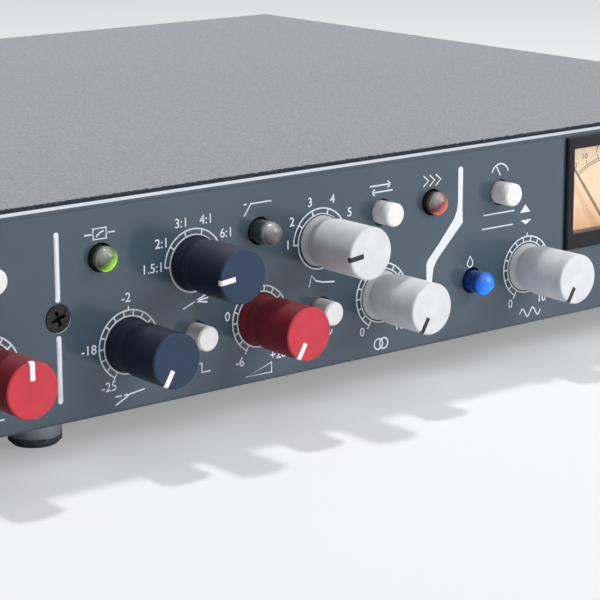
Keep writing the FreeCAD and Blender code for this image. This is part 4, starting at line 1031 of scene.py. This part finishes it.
WASHER = dict(Outer=5.84 * MM, Inner=5.62 * MM, Thick=0.1 * MM)
CASE_SCREW = dict(Head=2.8 * MM, Rise=1.6 * MM, Round=5.0 * MM, Cone=0.02 * MM,
                  Shank=1.4 * MM, Length=4.0 * MM, Arm=3.1 * MM, Recess=1.0 * MM)
PANEL_SCREW = dict(Head=2.74 * MM, Rise=0.28 * MM, Round=15.0 * MM, Cone=1.25 * MM,
                   Shank=1.5 * MM, Length=8.7 * MM, Arm=3.3 * MM, Recess=1.15 * MM, Turn=1.24)


# Thin black rings round each nut cover: washers, and also painted shade for the dark gap at the
# covers' feet.
def fit_washers():
    rings = grown(washer_tree(), dots([(AXIS[name].x, AXIS[name].z) for name in KNOBS]),
                  **WASHER)
    stand = standing(FACE - WASHER["Thick"] / 2)
    piece_from("knob_washers", shaded(gathered([(rings, stand)])), "washer_rubber")


def fit_case_screws(tree):
    """Three in each side of the case, heads out."""
    low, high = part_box("case_screws")
    head = CASE_SCREW["Head"]
    row = dots([(y, 0) for y in (low.y + head, (low.y + high.y) / 2, high.y - head)])
    screws = grown(tree, row, **CASE_SCREW)
    seat, up = high.x - CASE_SCREW["Rise"], (low.z + high.z) / 2
    right = Matrix(((0, 0, 1, seat), (1, 0, 0, 0), (0, 1, 0, up), (0, 0, 0, 1)))
    left = Matrix(((0, 0, -1, -seat), (1, 0, 0, 0), (0, -1, 0, up), (0, 0, 0, 1)))
    made = piece_from("case_screw_set", shaded(gathered([(screws, right), (screws, left)])),
                      "screw")
    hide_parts("case_screws")


def fit_panel_screws(tree):
    """A row of four, sunk in the panel."""
    screws = grown(tree, dots([(x, SCREW_Z) for x in SCREW_X]), **PANEL_SCREW)
    stand = standing(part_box("panel_screws")[0].y)
    made = piece_from("panel_screw_set", shaded(gathered([(screws, stand)])), "screw")
    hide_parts("panel_screws")


fit_washers()
SCREW = screw_tree()
fit_case_screws(SCREW)
fit_panel_screws(SCREW)


# ------------ knob pointers
def pointer_inlay():
    """Bar set in the cap's groove and over its edge, pointing up, round the axis."""
    half = 0.548                             # of its width; all of it in mm
    sunk, play, wrap = 0.24, 0.004, 0.895    # depths behind the cap
    inner, bend, edge, skirt = 2.003, 5.36, 5.66, 5.45       # distances from the axis
    outline = [(inner, sunk), (inner, play), (bend, play), (edge, 0.32), (edge + 0.005, wrap),
               (skirt, wrap), (skirt, sunk)]
    form = bmesh.new()
    rings = [[form.verts.new((side * half * MM, y * MM, z * MM)) for z, y in outline]
             for side in (-1, 1)]
    form.faces.new(rings[0])
    form.faces.new(rings[1][::-1])
    for i in range(len(outline)):
        j = (i + 1) % len(outline)
        form.faces.new((rings[0][i], rings[1][i], rings[1][j], rings[0][j]))
    bmesh.ops.recalc_face_normals(form, faces=form.faces)
    bmesh.ops.triangulate(form, faces=form.faces)
    return mesh_of(form)


INLAY = pointer_inlay()
for name, (colour, angle, _) in KNOBS.items():
    turn = Matrix.Rotation(math.radians(angle), 4, "Y")
    place = Matrix.Translation((AXIS[name].x, KNOB_FRONT, AXIS[name].z)) @ turn
    mesh = INLAY.copy()
    mesh.transform(place)
    piece_from(name.replace("_knob", "_pointer"), mesh,
               "pointer_black" if colour == "white" else "pointer_white", body=name)


# ------------ floor, light and camera
CAMERA_LEFT, CAMERA_AHEAD, CAMERA_UP = 0.24611, 0.364365, 0.13036   # from the panel's face
CAMERA_TURN, CAMERA_TILT, CAMERA_ROLL = -38.588, 13.756, 0.173
CAMERA_LENS, CAMERA_SENSOR = 134.304, 36.0
FLOOR_REACH = 3.0
FLOOR_LIFT = 0.3                    # how far the camera sees the floor as plain white
WORLD_LIGHT = 0.14
# place, what it points at, side, watts and colour
LAMPS = {
    "key": ((0.149, 0.207, 1.0), (0.05, -0.1, 0.02), 0.08, 5.2, (0.98, 0.99, 1.0)),
    "fill": ((1.0, -1.45, 0.78), (0.0, -0.1, 0.02), 1.2, 21.5, (0.99, 0.99, 1.0)),
    "overhead": ((0.1, -0.6, 1.3), (0.0, -0.15, 0.0), 1.2, 4.0, (0.93, 0.97, 1.0)),
}


def backdrop_finish():
    """Pale floor that keeps the unit's shadow."""
    f = Finish("floor_paper")
    soft = f.grain(0.4, 2.0)
    paper = f.skin(Base_Color=f.mix(soft, tint(240, 240, 243), tint(246, 246, 248)),
                   Roughness=0.7, Normal=f.bump(soft, 0.1 * MM))
    white = f.node("ShaderNodeEmission", None, {"Color": (1, 1, 1, 1), "Strength": 1.0})
    seen = f.node("ShaderNodeLightPath", output="Is Camera Ray")
    return f.either(seen * FLOOR_LIFT, paper, white)


def make_floor():
    mesh = bpy.data.meshes.new("floor")
    corners = ((-1, -1), (1, -1), (1, 1), (-1, 1))
    mesh.from_pydata([(x * FLOOR_REACH, y * FLOOR_REACH, 0) for x, y in corners], [],
                     [(0, 1, 2, 3)])
    mesh.materials.append(backdrop_finish())
    floor = placed("floor", mesh)


def make_lamps():
    for name, (place, aim, side, watts, colour) in LAMPS.items():
        light = bpy.data.lights.new(name, "AREA")
        light.shape, light.size = "SQUARE", side
        light.energy, light.color = watts, colour
        lamp = placed(name, light)
        lamp.location = place
        lamp.rotation_euler = (Vector(aim) - Vector(place)).to_track_quat("-Z", "Y").to_euler()


def make_world():
    """Dim light from all round, seen as white by the camera and in reflections."""
    world = bpy.data.worlds.new("studio")
    bpy.context.scene.world = world
    world.use_nodes = True
    net = Net(world.node_tree)
    net.tree.nodes.clear()
    rays = net.node("ShaderNodeLightPath").socket.node.outputs
    seen = Value(net, rays["Is Camera Ray"])
    for title in ("Is Glossy Ray", "Is Transmission Ray"):
        seen = seen.most(Value(net, rays[title]))
    around = net.node("ShaderNodeBackground", None,
                      {"Color": (0.93, 0.95, 1.0, 1), "Strength": WORLD_LIGHT})
    white = net.node("ShaderNodeBackground", None, {"Color": (1, 1, 1, 1), "Strength": 1.0})
    net.ends("ShaderNodeOutputWorld",
             net.node("ShaderNodeMixShader", None, {0: seen, 1: around, 2: white}))


def make_camera():
    turn, tilt, roll = (math.radians(a) for a in (CAMERA_TURN, CAMERA_TILT, CAMERA_ROLL))
    back = Vector((math.sin(turn) * math.cos(tilt), -math.cos(turn) * math.cos(tilt),
                   math.sin(tilt)))
    right = (-back).cross(Vector((0, 0, 1))).normalized()
    up = right.cross(-back)
    right, up = (right * math.cos(roll) - up * math.sin(roll),
                 right * math.sin(roll) + up * math.cos(roll))
    data = bpy.data.cameras.new("camera")
    data.lens, data.sensor_width = CAMERA_LENS, CAMERA_SENSOR
    camera = placed("camera", data)
    spot = Matrix.Translation((-CAMERA_LEFT, FACE - CAMERA_AHEAD, EDGE + CAMERA_UP))
    camera.matrix_world = spot @ Matrix((right, up, back)).transposed().to_4x4()
    bpy.context.scene.camera = camera


make_floor()
make_lamps()
make_world()
make_camera()
bpy.context.scene.view_settings.view_transform = "Standard"
